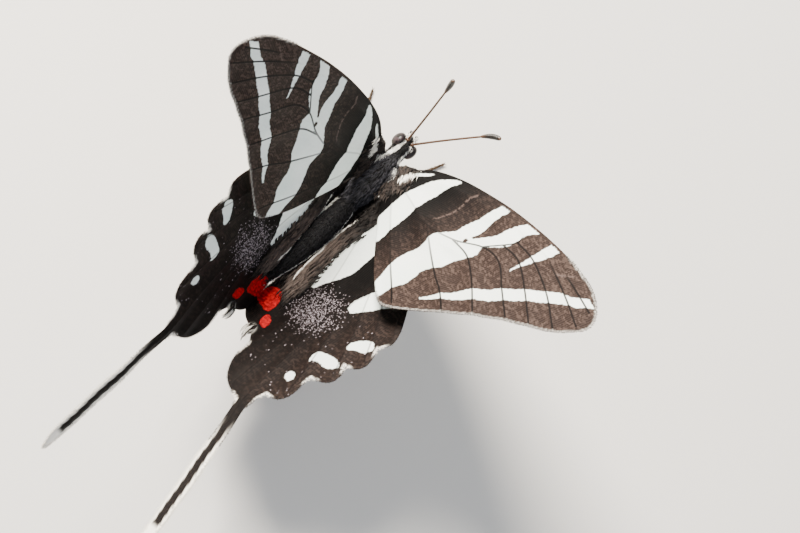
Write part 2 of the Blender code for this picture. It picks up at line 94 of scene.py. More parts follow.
def gaps(points, line):
    # from every point to each straight piece of the line, with the piece's own run
    for a, b in zip(line, line[1:]):
        span = b - a
        along = np.clip(((points - a) @ span) / max(1e-12, span @ span), 0, 1)
        yield norm(points - a - along[:, None] * span, axis=1), span


def distanceTo(points, line):
    best = np.full(len(points), 1e9)
    for gap, span in gaps(points, line):
        best = np.minimum(best, gap)
    return best


def depthIn(points, ring):
    # distance to the ring, positive inside it
    inside = np.zeros(len(points), bool)
    x, y = points[:, 0], points[:, 1]
    for a, b in zip(ring, np.roll(ring, -1, axis=0)):
        if a[1] != b[1]:
            crosses = (a[1] > y) != (b[1] > y)
            inside ^= crosses & (x < a[0] + (y - a[1]) / (b[1] - a[1]) * (b[0] - a[0]))
    distance = distanceTo(points, np.vstack([ring, ring[:1]]))
    return np.where(inside, distance, -distance)


def ramp(values, low, high):
    t = np.clip((np.asarray(values, float) - low) / (high - low), 0, 1)
    return t * t * (3 - 2 * t)


def fade(values, low, high):
    # the other way: whole below low, gone above high
    return 1 - ramp(values, low, high)


# Making objects

def linked(name, data):
    thing = bpy.data.objects.new(name, data)
    bpy.context.collection.objects.link(thing)
    return thing


def addObject(name, points, faces):
    mesh = bpy.data.meshes.new(name)
    mesh.from_pydata([tuple(p) for p in points], [], [tuple(int(i) for i in f) for f in faces])
    mesh.validate()
    mesh.shade_smooth()
    return linked(name, mesh)


def setNumbers(mesh, marks):
    # numbers or directions at each point
    for name, values in marks.items():
        values = np.asarray(values, np.float32)
        kind, field = (("FLOAT", "value"), ("FLOAT_VECTOR", "vector"))[values.ndim - 1]
        mesh.attributes.new(name, kind, "POINT").data.foreach_set(field, values.ravel())


def setMap(mesh, cornerPlaces):
    places = np.asarray(cornerPlaces, np.float32)
    mesh.uv_layers.new(name="OFBake").uv.foreach_set("vector", places.ravel())


def readOut(items, field, width=1, kind=float):
    values = np.empty(len(items) * width, kind)
    items.foreach_get(field, values)
    return values if width == 1 else values.reshape(-1, width)


def cornerPoints(mesh):
    return readOut(mesh.loops, "vertex_index", kind=np.int32)


def finishPiece(piece, material=None, replaced=()):
    if material is not None:
        piece.data.materials.clear()
        piece.data.materials.append(material)
    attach(piece, "root")
    if replaced:
        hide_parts(*replaced)


def bakeModifiers(piece):
    # the evaluated shape as a plain mesh, with no modifier left
    bpy.context.view_layer.update()
    graph = bpy.context.evaluated_depsgraph_get()
    mesh = bpy.data.meshes.new_from_object(piece.evaluated_get(graph), preserve_all_data_layers=True,
                                           depsgraph=graph)
    piece.modifiers.clear()
    piece.data = mesh


# Materials

def linear(code):
    # sRGB hex to the linear colour that a shader takes
    parts = [int(code[i:i + 2], 16) / 255 for i in (1, 3, 5)]
    return tuple(c / 12.92 if c <= 0.04045 else ((c + 0.055) / 1.055) ** 2.4 for c in parts) + (1.0,)


def feed(node, inputs):
    # an input is a value, a hex colour, another node's output, or a node for its first open output
    for key, value in inputs.items():
        if isinstance(value, bpy.types.Node):
            value = next(output for output in value.outputs if output.enabled)
        if isinstance(value, bpy.types.NodeSocket):
            node.id_data.links.new(value, node.inputs[key])
        else:
            hexed = isinstance(value, str) and value.startswith("#")
            node.inputs[key].default_value = linear(value) if hexed else value


def addNode(tree, kind, inputs=None, **settings):
    # a shader node's kind goes without its first word
    node = tree.nodes.new(kind if "Node" in kind else "ShaderNode" + kind)
    for key, value in settings.items():
        setattr(node, key, value)
    feed(node, inputs or {})
    return node


def newMaterial(name, settings, marks=()):
    # the material, its tree and shader, and a node's output for each mark on the mesh
    material = bpy.data.materials.new(name)
    material.use_nodes = True
    tree = material.node_tree
    shader = tree.nodes["Principled BSDF"]
    feed(shader, settings)
    field = {mark: addNode(tree, "Attribute", attribute_name=mark).outputs["Fac"] for mark in marks}
    return material, tree, shader, field


print("camera and light")
camera = {
    "azimuth": 9.258, "elevation": -20.653, "roll": -42.977,   # degrees, in the body's frame
    "scale": 8.653, "thoraxAt": (370.85, 180.18),   # pixels to the millimetre, the thorax's pixel
    "distance": 650.0, "frameSize": (800, 533), "sensor": 36.0, "nearest": 0.01,
}
lights = {
    # towards each light in the body's frame, its distance and width in metres, its power in watts
    "key": {"toward": (-0.72, 0.30, 0.62), "far": 0.42, "wide": 0.20, "power": 10.0, "tint": "#fff6ea"},
    "fill": {"toward": (0.60, -0.45, 0.70), "far": 0.50, "wide": 0.45, "power": 1.1, "tint": "#eaf1ff"},
    "aim": (0.0, -8.0, 6.0), "world": 0.50, "worldTint": "#f4f6fa",
}
floorLook = {"half": 1.5, "tint": "#e4e2dd", "roughness": 0.8}


def makeCamera():
    turn = (turnAbout("Z", camera["roll"]) @ turnAbout("X", camera["elevation"])
            @ turnAbout("Y", camera["azimuth"]))
    wide, high = camera["frameSize"]
    across = -(camera["thoraxAt"][0] - wide / 2) / camera["scale"]
    up = (camera["thoraxAt"][1] - high / 2) / camera["scale"]
    spot = place([turn.T @ np.array([across, up, camera["distance"]])])[0]
    data = bpy.data.cameras.new("camera")
    data.sensor_width = camera["sensor"]
    data.lens = camera["sensor"] * camera["scale"] * camera["distance"] / wide
    data.clip_start = camera["nearest"]
    view = linked("camera", data)
    view.matrix_world = Matrix.Translation(Vector(spot)) @ Matrix(turn.T.tolist()).to_4x4()
    bpy.context.scene.camera = view


def makeLights():
    for name in ("key", "fill"):
        lamp = lights[name]
        data = bpy.data.lights.new(name, "AREA")
        data.shape = "DISK"
        data.size = lamp["wide"]
        data.energy = lamp["power"]
        data.color = linear(lamp["tint"])[:3]
        shine = linked(name, data)
        toward = Vector(lamp["toward"]).normalized()
        shine.location = Vector(place([lights["aim"]])[0]) + toward * lamp["far"]
        shine.rotation_euler = toward.to_track_quat("Z", "Y").to_euler()
    world = bpy.data.worlds.new("soft room")
    world.use_nodes = True
    feed(world.node_tree.nodes["Background"], {"Color": lights["worldTint"], "Strength": lights["world"]})
    bpy.context.scene.world = world


def makeFloor():
    far = floorLook["half"]
    corners = [(-far, -far, 0), (far, -far, 0), (far, far, 0), (-far, far, 0)]
    floor = addObject("floor", corners, [(0, 1, 2, 3)])
    material = newMaterial("painted board, pale matt", {"Base Color": floorLook["tint"],
                                                        "Roughness": floorLook["roughness"]})[0]
    floor.data.materials.append(material)


makeCamera()
makeLights()
makeFloor()


print("body measures")
body = {
    "thorax": {"rear": -3.4, "front": 4.1, "halfWidth": 1.72, "halfHeight": 2.1, "height": -0.75,
               "neckRise": 0.75, "furDepth": 0.22},
    "shoulder": {"at": (1.42, 2.1, 0.42), "size": (0.62, 1.5, 0.60)},   # hair lobe over the wing's base
    "abdomen": {"start": -3.7, "length": 14.4, "halfWidth": 1.62, "halfHeight": 1.7, "height": -1.1,
                "droop": 2.5, "lean": -0.65, "segments": 8, "groove": 0.075, "furDepth": 0.12},
    "head": {"rear": 4.4, "front": 7.2, "halfWidth": 0.74, "halfHeight": 1.12, "height": 0.1,
             "droop": 0.25, "furDepth": 0.14},
    "palp": {"root": (0.34, 6.5, -0.42), "reach": (0.08, 1.10, 0.62), "radius": 0.26},
    "neckRadius": 0.85, "voxel": 0.09,
}


def abdomenCentre(s):
    a = body["abdomen"]
    return a["lean"] * s ** 2, a["height"] - a["droop"] * s ** 2


def abdomenSize(s):
    # share of the full width at each share of the length
    part = np.clip(s, 0.0, 1.0)
    swell = 0.74 + 0.30 * np.sin(pi * np.minimum(1.0, part * 1.25) ** 0.8)
    return np.maximum(0.12, swell * np.maximum(0.0, 1 - part ** 3.2) ** 0.62)


def clearOfAbdomen(points, room):
    # points nearer to the abdomen's axis than its side plus the room are moved straight out
    a = body["abdomen"]
    s = np.clip((a["start"] - points[:, 1]) / a["length"], 0, 1)
    away = points[:, [0, 2]] - np.column_stack(abdomenCentre(s))
    least = a["halfWidth"] * abdomenSize(s) + room
    least *= ramp(-points[:, 1], 2.4, 4.4) * fade(-points[:, 1], 18.0, 19.4)
    moved = points.copy()
    moved[:, [0, 2]] += away * np.maximum(0.0, least / np.maximum(norm(away, axis=1), 1e-6) - 1)[:, None]
    return moved


print("wing shapes")
wing = {
    "grain": 0.23, "membrane": 0.10,   # spacing of the mesh, thickness between veins
    "veinHeight": 0.085, "veinWidth": 0.17,
    "pleat": 0.30, "pleatWidth": 1.25,   # how far the membrane sags between veins
    "wave": 0.10, "foldRoom": 0.16, "bowReach": 40.0,
}
# Both wings are drawn flat: first number outwards from the hinge, second towards the head.
# The marks are pale stripes from the front edge backwards, each as its inner and its outer edge.
frontEdge = [(0.7, 3.3), (2.2, 5.0), (4.3, 6.4), (8.0, 8.2), (12.4, 10.0), (17.9, 11.8), (22.6, 13.0),
             (27.4, 14.0)]
forewing = {
    "hinge": (1.7, 1.5, 0.8), "bow": 0.7,
    "hold": {"right": (53.6, -2.8, -28.8), "left": (49.8, -0.9, -39.1)},   # degrees up, tip down, swept
    "root": [(-1.9, -1.2), (-2.1, 0.6), (-1.2, 2.3)],
    "outline": [frontEdge + [(31.4, 14.4), (34.3, 14.1), (36.3, 13.4), (37.3, 12.5), (37.5, 11.5),
                (37.0, 10.4), (35.4, 8.2), (32.5, 5.6), (30.2, 3.7), (28.0, 1.5), (25.8, -1.0),
                (23.8, -3.2), (22.0, -5.4), (20.9, -6.6), (19.6, -7.4), (18.2, -7.5), (15.0, -6.8),
                (11.0, -5.5), (7.0, -4.0), (3.2, -2.4)]],
    "veins": {
        "costa": frontEdge,
        "radius": [(-0.6, 1.3), (1.2, 2.1), (5.0, 5.1), (10.0, 7.5), (15.0, 9.3), (19.5, 10.6),
            (24.0, 11.6), (31.2, 11.4), (36.6, 10.9)],
        "radius1": [(13.5, 8.8), (18.0, 10.7), (22.0, 12.2)],
        "radius2": [(17.0, 9.9), (22.0, 11.8), (27.5, 13.1)],
        "radius4": [(24.0, 11.6), (29.0, 12.6), (35.6, 12.9)],
        "cellEnd": [(19.5, 10.6), (20.2, 9.5), (19.6, 7.9), (18.3, 5.7)],
        "media1": [(20.2, 9.5), (24.0, 10.1), (29.8, 9.7), (35.2, 8.5)],
        "media2": [(19.6, 7.9), (23.0, 8.6), (28.0, 7.7), (32.9, 6.4)],
        "cubitus": [(-0.6, 0.6), (1.2, 0.7), (5.0, 0.9), (10.5, 1.3), (14.8, 3.1), (18.3, 5.7), (21.7, 6.6),
            (26.1, 5.5), (30.4, 4.4)],
        "cubitus1": [(14.8, 3.1), (18.0, 3.7), (20.7, 3.4), (23.9, 2.6), (27.4, 1.4)],
        "cubitus2": [(10.5, 1.3), (15.0, 0.3), (19.3, -0.5), (21.9, -0.8), (24.9, -1.6)],
        "anal": [(-0.6, -0.3), (1.2, -0.4), (7.0, -2.2), (13.0, -4.1), (18.0, -5.5), (20.4, -6.3)],
    },
    "marks": {
        "shoulder": ([(2.65, 4.8), (2.0, 4.05), (1.2, 3.1), (0.7, 2.2), (0.5, 1.2)],
             [(2.8, 4.65), (2.35, 3.85), (1.65, 2.95), (1.2, 2.0), (1.1, 1.1)]),
        "basal": ([(5.4, 6.6), (4.3, 5.4), (3.6, 3.9), (3.3, 2.5), (3.3, 1.2), (3.6, 0.0), (4.2, -1.2),
              (4.8, -2.4), (5.4, -3.6)],
             [(6.5, 7.2), (6.1, 5.6), (6.0, 4.0), (6.0, 2.7), (6.5, 1.4), (7.2, 0.0), (7.7, -1.1),
              (8.2, -2.1), (8.8, -3.3), (9.4, -5.2)]),
        "fork": ([(13.2, 9.9), (13.2, 8.6), (13.3, 7.3), (13.2, 5.9), (13.3, 4.8), (13.7, 3.8), (13.1, 2.6),
              (12.5, 1.3), (13.0, 0.4), (13.3, -0.6), (13.1, -2.0), (13.4, -3.3), (14.1, -4.4),
              (14.7, -5.4), (15.6, -6.9)],
             [(20.5, 12.3), (19.8, 10.9), (20.0, 9.4), (20.1, 8.2), (19.0, 6.5), (18.4, 5.6), (19.0, 4.8),
              (18.7, 3.4), (18.0, 2.0), (18.2, 0.8), (17.9, -0.4), (17.4, -1.6), (17.8, -2.8), (18.1, -4.0),
              (18.0, -5.2), (18.0, -7.6)]),
        "third": ([(23.0, 12.9), (23.1, 11.5), (23.3, 10.0), (23.45, 8.7), (23.6, 7.3)],
             [(24.7, 13.3), (24.8, 11.9), (24.4, 10.4), (24.0, 8.9), (23.8, 7.2)]),
        "band": ([(33.5, 13.6), (32.0, 12.0), (30.6, 11.1), (29.4, 9.6), (28.1, 8.1), (26.6, 6.3),
              (25.4, 4.6), (24.4, 3.0), (23.4, 1.4), (22.9, 0.2), (22.2, -1.2), (21.2, -3.2)],
             [(35.2, 13.6), (33.9, 11.9), (32.8, 11.1), (31.2, 9.2), (29.4, 7.1), (27.8, 5.0), (26.6, 3.4),
              (25.5, 1.9), (24.4, 0.5), (23.4, -0.8), (22.5, -1.9), (21.4, -3.3)]),
    },
}
forkWedge = [(14.6, 11.4), (14.8, 10.2), (14.9, 8.9), (15.3, 7.4), (15.7, 6.2), (15.8, 5.2), (16.2, 5.1),
             (16.6, 6.1), (17.4, 7.7), (17.5, 8.9), (17.7, 10.6), (18.2, 12.2)]
forkSpot = {"at": (16.0, 4.35), "radius": 0.34}
thinStreaks = [[(9.7, 8.0), (9.5, 7.3), (9.7, 6.2), (10.1, 4.8), (10.0, 3.0), (9.9, 2.4)],
               [(27.7, 11.7), (28.4, 12.4), (29.1, 13.4)]]
tail = {
    "line": [(11.9, -28.6), (13.4, -31.9), (14.9, -35.1), (16.5, -38.9), (18.0, -42.4), (19.4, -45.8),
        (20.4, -48.9)],
    "halfWidth": 0.98, "start": (13.0, -27.4),
}
hindwing = {
    "hinge": (2.55, -1.5, -0.2), "bow": -0.6,
    "hold": {"right": (54.6, -2.0, -10.4), "left": (51.5, -2.3, -10.9)},
    "root": [(-2.0, -1.9), (-2.2, -0.4), (-1.3, 0.9)],
    "outline": [
        [(2.8, 1.6), (6.5, 1.2), (10.0, -0.8), (13.8, -4.3), (17.0, -8.2), (18.9, -10.4), (19.7, -11.8),
         (19.6, -12.8), (18.8, -13.8)],
        [(18.8, -13.8), (19.5, -14.9), (19.9, -16.3), (19.2, -17.3), (17.4, -17.8)],
        [(17.4, -17.8), (18.4, -18.9), (18.5, -20.2), (17.6, -21.0), (15.6, -21.4)],
        [(15.6, -21.4), (15.8, -22.6), (16.1, -24.6), (15.2, -25.9), (13.2, -26.2)],
        "tail",
        [(10.9, -28.9), (9.0, -28.4), (7.4, -27.8), (6.1, -26.9), (5.1, -25.5), (4.7, -24.1), (4.7, -22.8)],
        [(4.7, -22.8), (3.8, -22.0), (2.8, -21.2), (1.5, -20.8), (0.3, -20.3), (-0.7, -19.5), (-1.3, -18.4),
         (-1.5, -17.0), (-1.5, -15.0), (-1.5, -12.5), (-1.5, -9.0), (-1.5, -5.5), (-1.6, -3.0)],
    ],
    "veins": {
        "subcosta": [(-0.6, 0.1), (1.1, 0.1), (5.0, 0.3), (9.0, -1.8), (14.0, -6.0), (19.1, -11.6)],
        "sector": [(-0.6, -0.6), (1.1, -0.8), (5.0, -1.8), (9.5, -5.5), (15.0, -10.7), (19.2, -16.0)],
        "media1": [(9.5, -5.5), (11.0, -9.2), (14.8, -14.8), (17.9, -19.9)],
        "media2": [(11.0, -9.2), (10.4, -12.0), (13.2, -18.5), (15.5, -24.8)],
        "media3": [(10.4, -12.0), (8.8, -13.6), (10.3, -20.5), (11.6, -27.5)] + tail["line"][1:],
        "cubitus": [(1.1, -1.5), (3.4, -6.5), (5.6, -11.5), (7.0, -14.8), (8.0, -21.0), (8.4, -27.6)],
        "cellEnd": [(8.8, -13.6), (7.0, -14.8)],
        "cubitus2": [(5.6, -11.5), (5.7, -18.0), (5.3, -24.6)],
        "anal": [(1.0, -4.0), (1.7, -10.0), (2.9, -19.8)],
    },
    "marks": {
        "main": ([(3.0, 1.4), (2.6, -1.0), (2.4, -3.0), (2.2, -4.8), (2.1, -6.9), (2.1, -8.2), (1.9, -9.5),
              (1.9, -10.6), (2.3, -11.7), (3.2, -12.6)],
             [(6.6, 1.0), (6.4, -1.5), (6.2, -3.7), (6.0, -5.6), (6.0, -7.8), (5.8, -9.2), (5.4, -10.4),
              (4.7, -11.5), (3.9, -12.6)]),
        "patch": ([(12.6, -6.4), (11.4, -8.3), (10.7, -9.8), (10.2, -11.2), (10.4, -12.1)],
             [(15.6, -8.2), (14.4, -9.4), (13.5, -10.3), (12.5, -11.3), (11.3, -12.4)]),
        "lunule1": ([(17.9, -13.6), (16.9, -13.8), (15.9, -14.4), (15.4, -15.2), (15.5, -16.0)],
             [(18.6, -14.1), (18.5, -14.9), (17.6, -15.4), (16.8, -15.5), (15.9, -16.1)]),
        "lunule2": ([(16.8, -18.0), (15.3, -17.8), (13.6, -18.2), (13.0, -19.0), (13.2, -19.8)],
             [(17.3, -18.5), (16.7, -19.0), (15.8, -19.4), (14.4, -19.4), (13.5, -20.0)]),
        "lunule3": ([(13.6, -22.2), (12.6, -22.1), (12.3, -22.8)],
             [(14.1, -22.9), (13.5, -23.4), (12.6, -23.2)]),
    },
}
foldStripe = {"line": [(-0.4, -0.4), (-0.1, -3.6), (0.2, -7.2), (0.6, -10.7), (0.9, -12.6)],
              "halfWidth": 0.16}   # the pale line along the inner fold
redMarks = [
    [(-1.4, -16.6), (-0.8, -15.4), (0.6, -15.1), (1.8, -15.8), (2.5, -16.8), (2.6, -18.0), (1.8, -18.4),
     (0.4, -18.1), (-1.0, -17.7)],
    [(2.6, -19.6), (2.7, -18.7), (3.4, -18.6), (4.0, -19.2), (4.1, -20.0), (3.3, -20.2)],
]
# Where the pale powder is thickest, and how far it reaches.
dustCloud = {"at": (7.3, -14.6), "size": (4.5, 3.5), "most": 0.62, "stray": 0.01}
# On the underside a red line edged with black runs from the front edge to the red spot.
underLine = [(8.9, -0.4), (8.4, -4.5), (7.3, -9.0), (5.9, -12.8), (4.0, -15.8), (2.4, -17.4)]
notches = [(18.9, -13.8), (17.5, -17.8), (15.7, -21.5), (13.4, -26.6), (10.6, -28.6), (4.9, -23.4)]
whiteTuft = (2.6, -21.3)
kinds = {"forewing": forewing, "hindwing": hindwing}


def stripeRing(mark):
    return np.vstack([smoothLine(mark[0]), smoothLine(mark[1])[::-1]])


def tailRing():
    line = smoothLine(tail["line"], 0.6)
    ahead = unit(np.gradient(line, axis=0))
    side = np.column_stack([-ahead[:, 1], ahead[:, 0]])
    along = np.linspace(0, 1, len(line))
    width = tail["halfWidth"] * (0.86 + 0.14 * np.sin(pi * along)) * fade(along, 0.93, 1.06)
    outer, inner = (line + side * way * width[:, None] for way in (1, -1))
    return np.vstack([[tail["start"]], outer[2:], [line[-1] + ahead[-1] * 0.45], inner[2:][::-1]])


def wingRing(spec):
    parts = [np.array(spec["root"])]
    parts += [tailRing() if run == "tail" else smoothLine(run, 0.35) for run in spec["outline"]]
    ring = np.vstack(parts)
    return ring[norm(ring - np.roll(ring, 1, axis=0), axis=1) > 0.05]


def wingNet(ring, veins):
    # a fine triangle net inside the ring, with points right on the veins
    grain = wing["grain"]
    onVeins = np.zeros((0, 2))
    for line in veins.values():
        spots = smoothLine(line, grain)
        spots = spots[depthIn(spots, ring) > 0.5 * grain]
        if len(onVeins) and len(spots):
            spots = spots[norm(spots[:, None] - onVeins[None], axis=2).min(axis=1) > 0.5 * grain]
        onVeins = np.vstack([onVeins, spots])
    low, high = ring.min(axis=0), ring.max(axis=0)
    across = np.arange(low[0], high[0], grain)
    rows = np.arange(low[1], high[1], grain * 0.866)
    grid = np.vstack([np.column_stack([across + (0.5 * grain if i % 2 else 0), np.full(len(across), v)])
                      for i, v in enumerate(rows)])
    grid = grid[depthIn(grid, ring) > 0.5 * grain]
    away = np.min([distanceTo(grid, smoothLine(line, 0.6)) for line in veins.values()], axis=0)
    flats = np.vstack([ring, onVeins, grid[away > 0.45 * grain]])
    edges = [(i, (i + 1) % len(ring)) for i in range(len(ring))]
    net = delaunay_2d_cdt([Vector(p) for p in flats], edges, [], 1, 1e-6)
    return np.array([tuple(p) for p in net[0]]), np.array([tuple(t) for t in net[2]])


def wingTurn(hold):
    lift, tip, sweep = hold
    return turnAbout("Y", -lift) @ turnAbout("X", tip) @ turnAbout("Z", sweep)


def onWing(spec, hand, flats, rise):
    # flat wing coordinates to the body's frame
    reach = np.clip(norm(flats, axis=1) / wing["bowReach"], 0, 1)
    bowed = spec["bow"] * np.sin(pi * reach) + rise
    points = np.column_stack([flats, bowed]) @ wingTurn(spec["hold"][hand]).T + np.array(spec["hinge"])
    points[:, 0] *= hands[hand]
    # the hindwing's inner fold lies round the abdomen's side, its lower face nearer
    return clearOfAbdomen(points, wing["foldRoom"] + rise * 0.5) if spec is hindwing else points


def wingFields(kind, flats, ring, veinLines):
    # what the finish needs at each point, in millimetres or shares
    def toLine(line, step=0.4):
        return distanceTo(flats, smoothLine(line, step))

    def inShape(shape, step=0.4):
        return depthIn(flats, smoothLine(shape, step))

    stripes = {key: depthIn(flats, stripeRing(mark)) for key, mark in kinds[kind]["marks"].items()}
    pale = np.max(list(stripes.values()), axis=0)
    edge = distanceTo(flats, np.vstack([ring, ring[:1]]))
    zero = np.zeros(len(flats))
    u, v = flats.T
    f = {"vein": np.min([distanceTo(flats, line) for line in veinLines.values()], axis=0), "edge": edge}
    f.update({key: zero for key in ("faint", "dust")}, red=zero - 1, redUnder=zero - 1, lineUnder=zero - 1)
    if kind == "forewing":
        costa = distanceTo(flats, veinLines["costa"])
        spot = norm(flats - np.array(forkSpot["at"]), axis=1) - forkSpot["radius"]
        pale = np.min([pale, -inShape(forkWedge), spot, costa - 0.32], axis=0)
        f["faint"] = fade(np.min([toLine(line) for line in thinStreaks], axis=0), 0.06, 0.20)
        f["outer"] = ramp(u, 6.0, 19.0)
        f["ink"] = (0.3 + 0.65 * f["outer"]) * ramp(costa, 1.5, 2.6)
        f["fringe"] = ramp(u - v * 0.4, 20.0, 23.0) * fade(edge, 0.10, 0.20) * 0.7
        f["trim"] = ramp(u - v * 0.4, 19.0, 23.0)
        f["hair"] = fade(np.hypot(u, v - 0.6), 1.6, 3.4)
        f["hairTone"] = ramp(stripes["shoulder"], -0.3, -0.1)
        f["hairGrey"] = zero + 0.3
    else:
        pale = np.maximum(pale, foldStripe["halfWidth"] - toLine(foldStripe["line"]))
        f["red"] = np.max([inShape(r + r[:1], 0.3) for r in redMarks], axis=0)
        under = toLine(underLine)
        f["redUnder"], f["lineUnder"] = 0.42 - under, 0.85 - under
        f["outer"] = ramp(-v, 4.0, 22.0) * 0.14 + ramp(u, 8.0, 17.0) * 0.28
        f["outer"] *= 1 - 0.7 * ramp(-v, 26.5, 29.5)
        f["ink"] = 0.3 + 0.65 * f["outer"]
        cloud = fade(np.hypot(*((flats - dustCloud["at"]) / dustCloud["size"]).T), 0.3, 1.3)
        stray = ramp(-v, 11.0, 13.0) * fade(-v, 24.5, 26.5) * ramp(u, 4.0, 6.0)
        f["dust"] = dustCloud["most"] * cloud + dustCloud["stray"] * stray
        notch = fade(np.min([norm(flats - np.array(n), axis=1) for n in notches], axis=0), 0.7, 1.5)
        whiteHair = fade(norm(flats - np.array(whiteTuft), axis=1), 0.4, 1.1)
        seam = ramp(-v, 9.5, 11.0) * fade(-v, 18.0, 18.8) * fade(u, 0.5, 1.0)
        whiteEdge = ramp(toLine(tail["line"], 0.5), 0.48, 0.62) * ramp(-v, 31.0, 36.0)
        onTail = np.where(v < -29.5, np.maximum(whiteEdge, ramp(-v, 46.2, 47.0)), 0)
        f["fringe"] = np.max([notch * fade(edge, 0.14, 0.26), whiteHair, seam * fade(edge, 0.08, 0.20),
                              onTail], axis=0)
        f["trim"] = np.where(v < -29.5, ramp(-v, 30.0, 36.0),
                             ramp(-v, 10.0, 13.0) * ramp(u, 3.9, 4.6) * np.maximum(0.7, notch))
        foldX, foldY = np.array(foldStripe["line"]).T
        beside = u - np.interp(-v, -foldY, foldX)
        ends = 13.4 + 0.55 * np.clip(u, 0, 4)
        inner = ramp(-v, 1.5, 4.0) * fade(-v - ends, -1.0, 1.0) * fade(beside, 1.6, 3.0)
        crest = fade(np.abs(beside), 0.08, 0.22) * ramp(-v, 1.5, 3.0) * fade(-v, 11.8, 12.8)
        hair = np.maximum(inner * 0.9, fade(np.hypot(u, v), 1.8, 3.8)) * (0.5 + 0.5 * ramp(beside, 0.0, 0.4))
        f["hair"] = np.max([hair, whiteHair, crest], axis=0)
        f["hairTone"] = np.maximum(whiteHair, crest)
        grey = 0.75 * inner * ramp(-v, 2.0, 7.0) * (0.6 + 0.4 * ramp(beside, -0.2, 0.3))
        f["hairGrey"] = np.clip(grey, 0.1, 1)
    f["pale"] = pale
    return f


def lowerFace(key, values):
    # the underside has wider stripes on a paler ground
    return {"pale": values + 0.22, "outer": np.minimum(1.0, values + 0.35)}.get(key, values)


def makeWing(kind, hand):
    spec = kinds[kind]
    ring = wingRing(spec)
    veinLines = {key: smoothLine(line, 0.5) for key, line in spec["veins"].items()}
    flats, triangles = wingNet(ring, spec["veins"])
    count = len(flats)
    fields = wingFields(kind, flats, ring, veinLines)
    ridge = wing["veinHeight"] * np.exp(-(fields["vein"] / wing["veinWidth"]) ** 2)
    hold = np.sum([np.exp(-(distanceTo(flats, line) / wing["pleatWidth"]) ** 2)
                   for line in veinLines.values()], axis=0)
    sag = -wing["pleat"] * (1 - np.clip(hold, 0, 1)) * (0.4 + 0.6 * ramp(fields["edge"], 0.0, 1.2))
    sag += wing["wave"] * np.sin(flats[:, 0] * 0.55 + 1.0) * np.sin(flats[:, 1] * 0.6)
    half = wing["membrane"] / 2 * (0.45 + 0.55 * ramp(fields["edge"], 0.0, 0.3))
    top = onWing(spec, hand, flats, sag + half + ridge)
    bottom = onWing(spec, hand, flats, sag - half - ridge * 0.8)
    faces = [tuple(t) for t in triangles] + [(a + count, c + count, b + count) for a, b, c in triangles]
    used = {pair for a, b, c in triangles for pair in ((a, b), (b, c), (c, a))}
    for a, b in sorted(used):
        if (b, a) not in used:
            faces += [(b, a, a + count), (b, a + count, b + count)]
    if hand == "left":
        faces = [f[::-1] for f in faces]
    piece = addObject(kind + "Scales." + hand, place(np.vstack([top, bottom])), faces)
    marks = {"under": np.repeat([0.0, 1.0], count)}
    for key, values in fields.items():
        upper = np.full(count, -1.0) if key.endswith("Under") else values
        marks[key] = np.clip(np.concatenate([upper, lowerFace(key, values)]), -3, 3)
    # the underside's pattern is drawn 60 mm away from the upper side's
    marks["flat"] = np.column_stack([np.vstack([flats, flats + np.array([0.0, 60.0])]), np.zeros(2 * count)])
    setNumbers(piece.data, marks)
    low, high = ring.min(axis=0), ring.max(axis=0)
    size = max((high - low)[1], 2 * (high - low)[0] + 2)
    spots = (flats - low) / size * 0.96 + 0.02
    setMap(piece.data, np.vstack([spots, spots + np.array([0.5, 0.0])])[cornerPoints(piece.data)])
    return piece, flats, fields, ring


wingFinish = {
    "black": "#050404", "brown": "#1f1613", "fleck": "#55463f", "underBrown": "#3b2e27",
    "white": "#fdfdfb", "mint": "#e3f4ec", "shadeWhite": "#d3ddd8", "veinInk": "#0d0908",
    "faint": "#5a4c47", "red": "#c8181c", "redDark": "#7a0a0f", "dust": "#a0969c", "fringe": "#f3efe6",
    # scales are 0.1 mm wide in life, too fine to show at this size: drawn three times as coarse
    "scaleSize": 0.28, "rowSpacing": 0.32, "dustSize": 0.125, "ragged": 0.42,
}


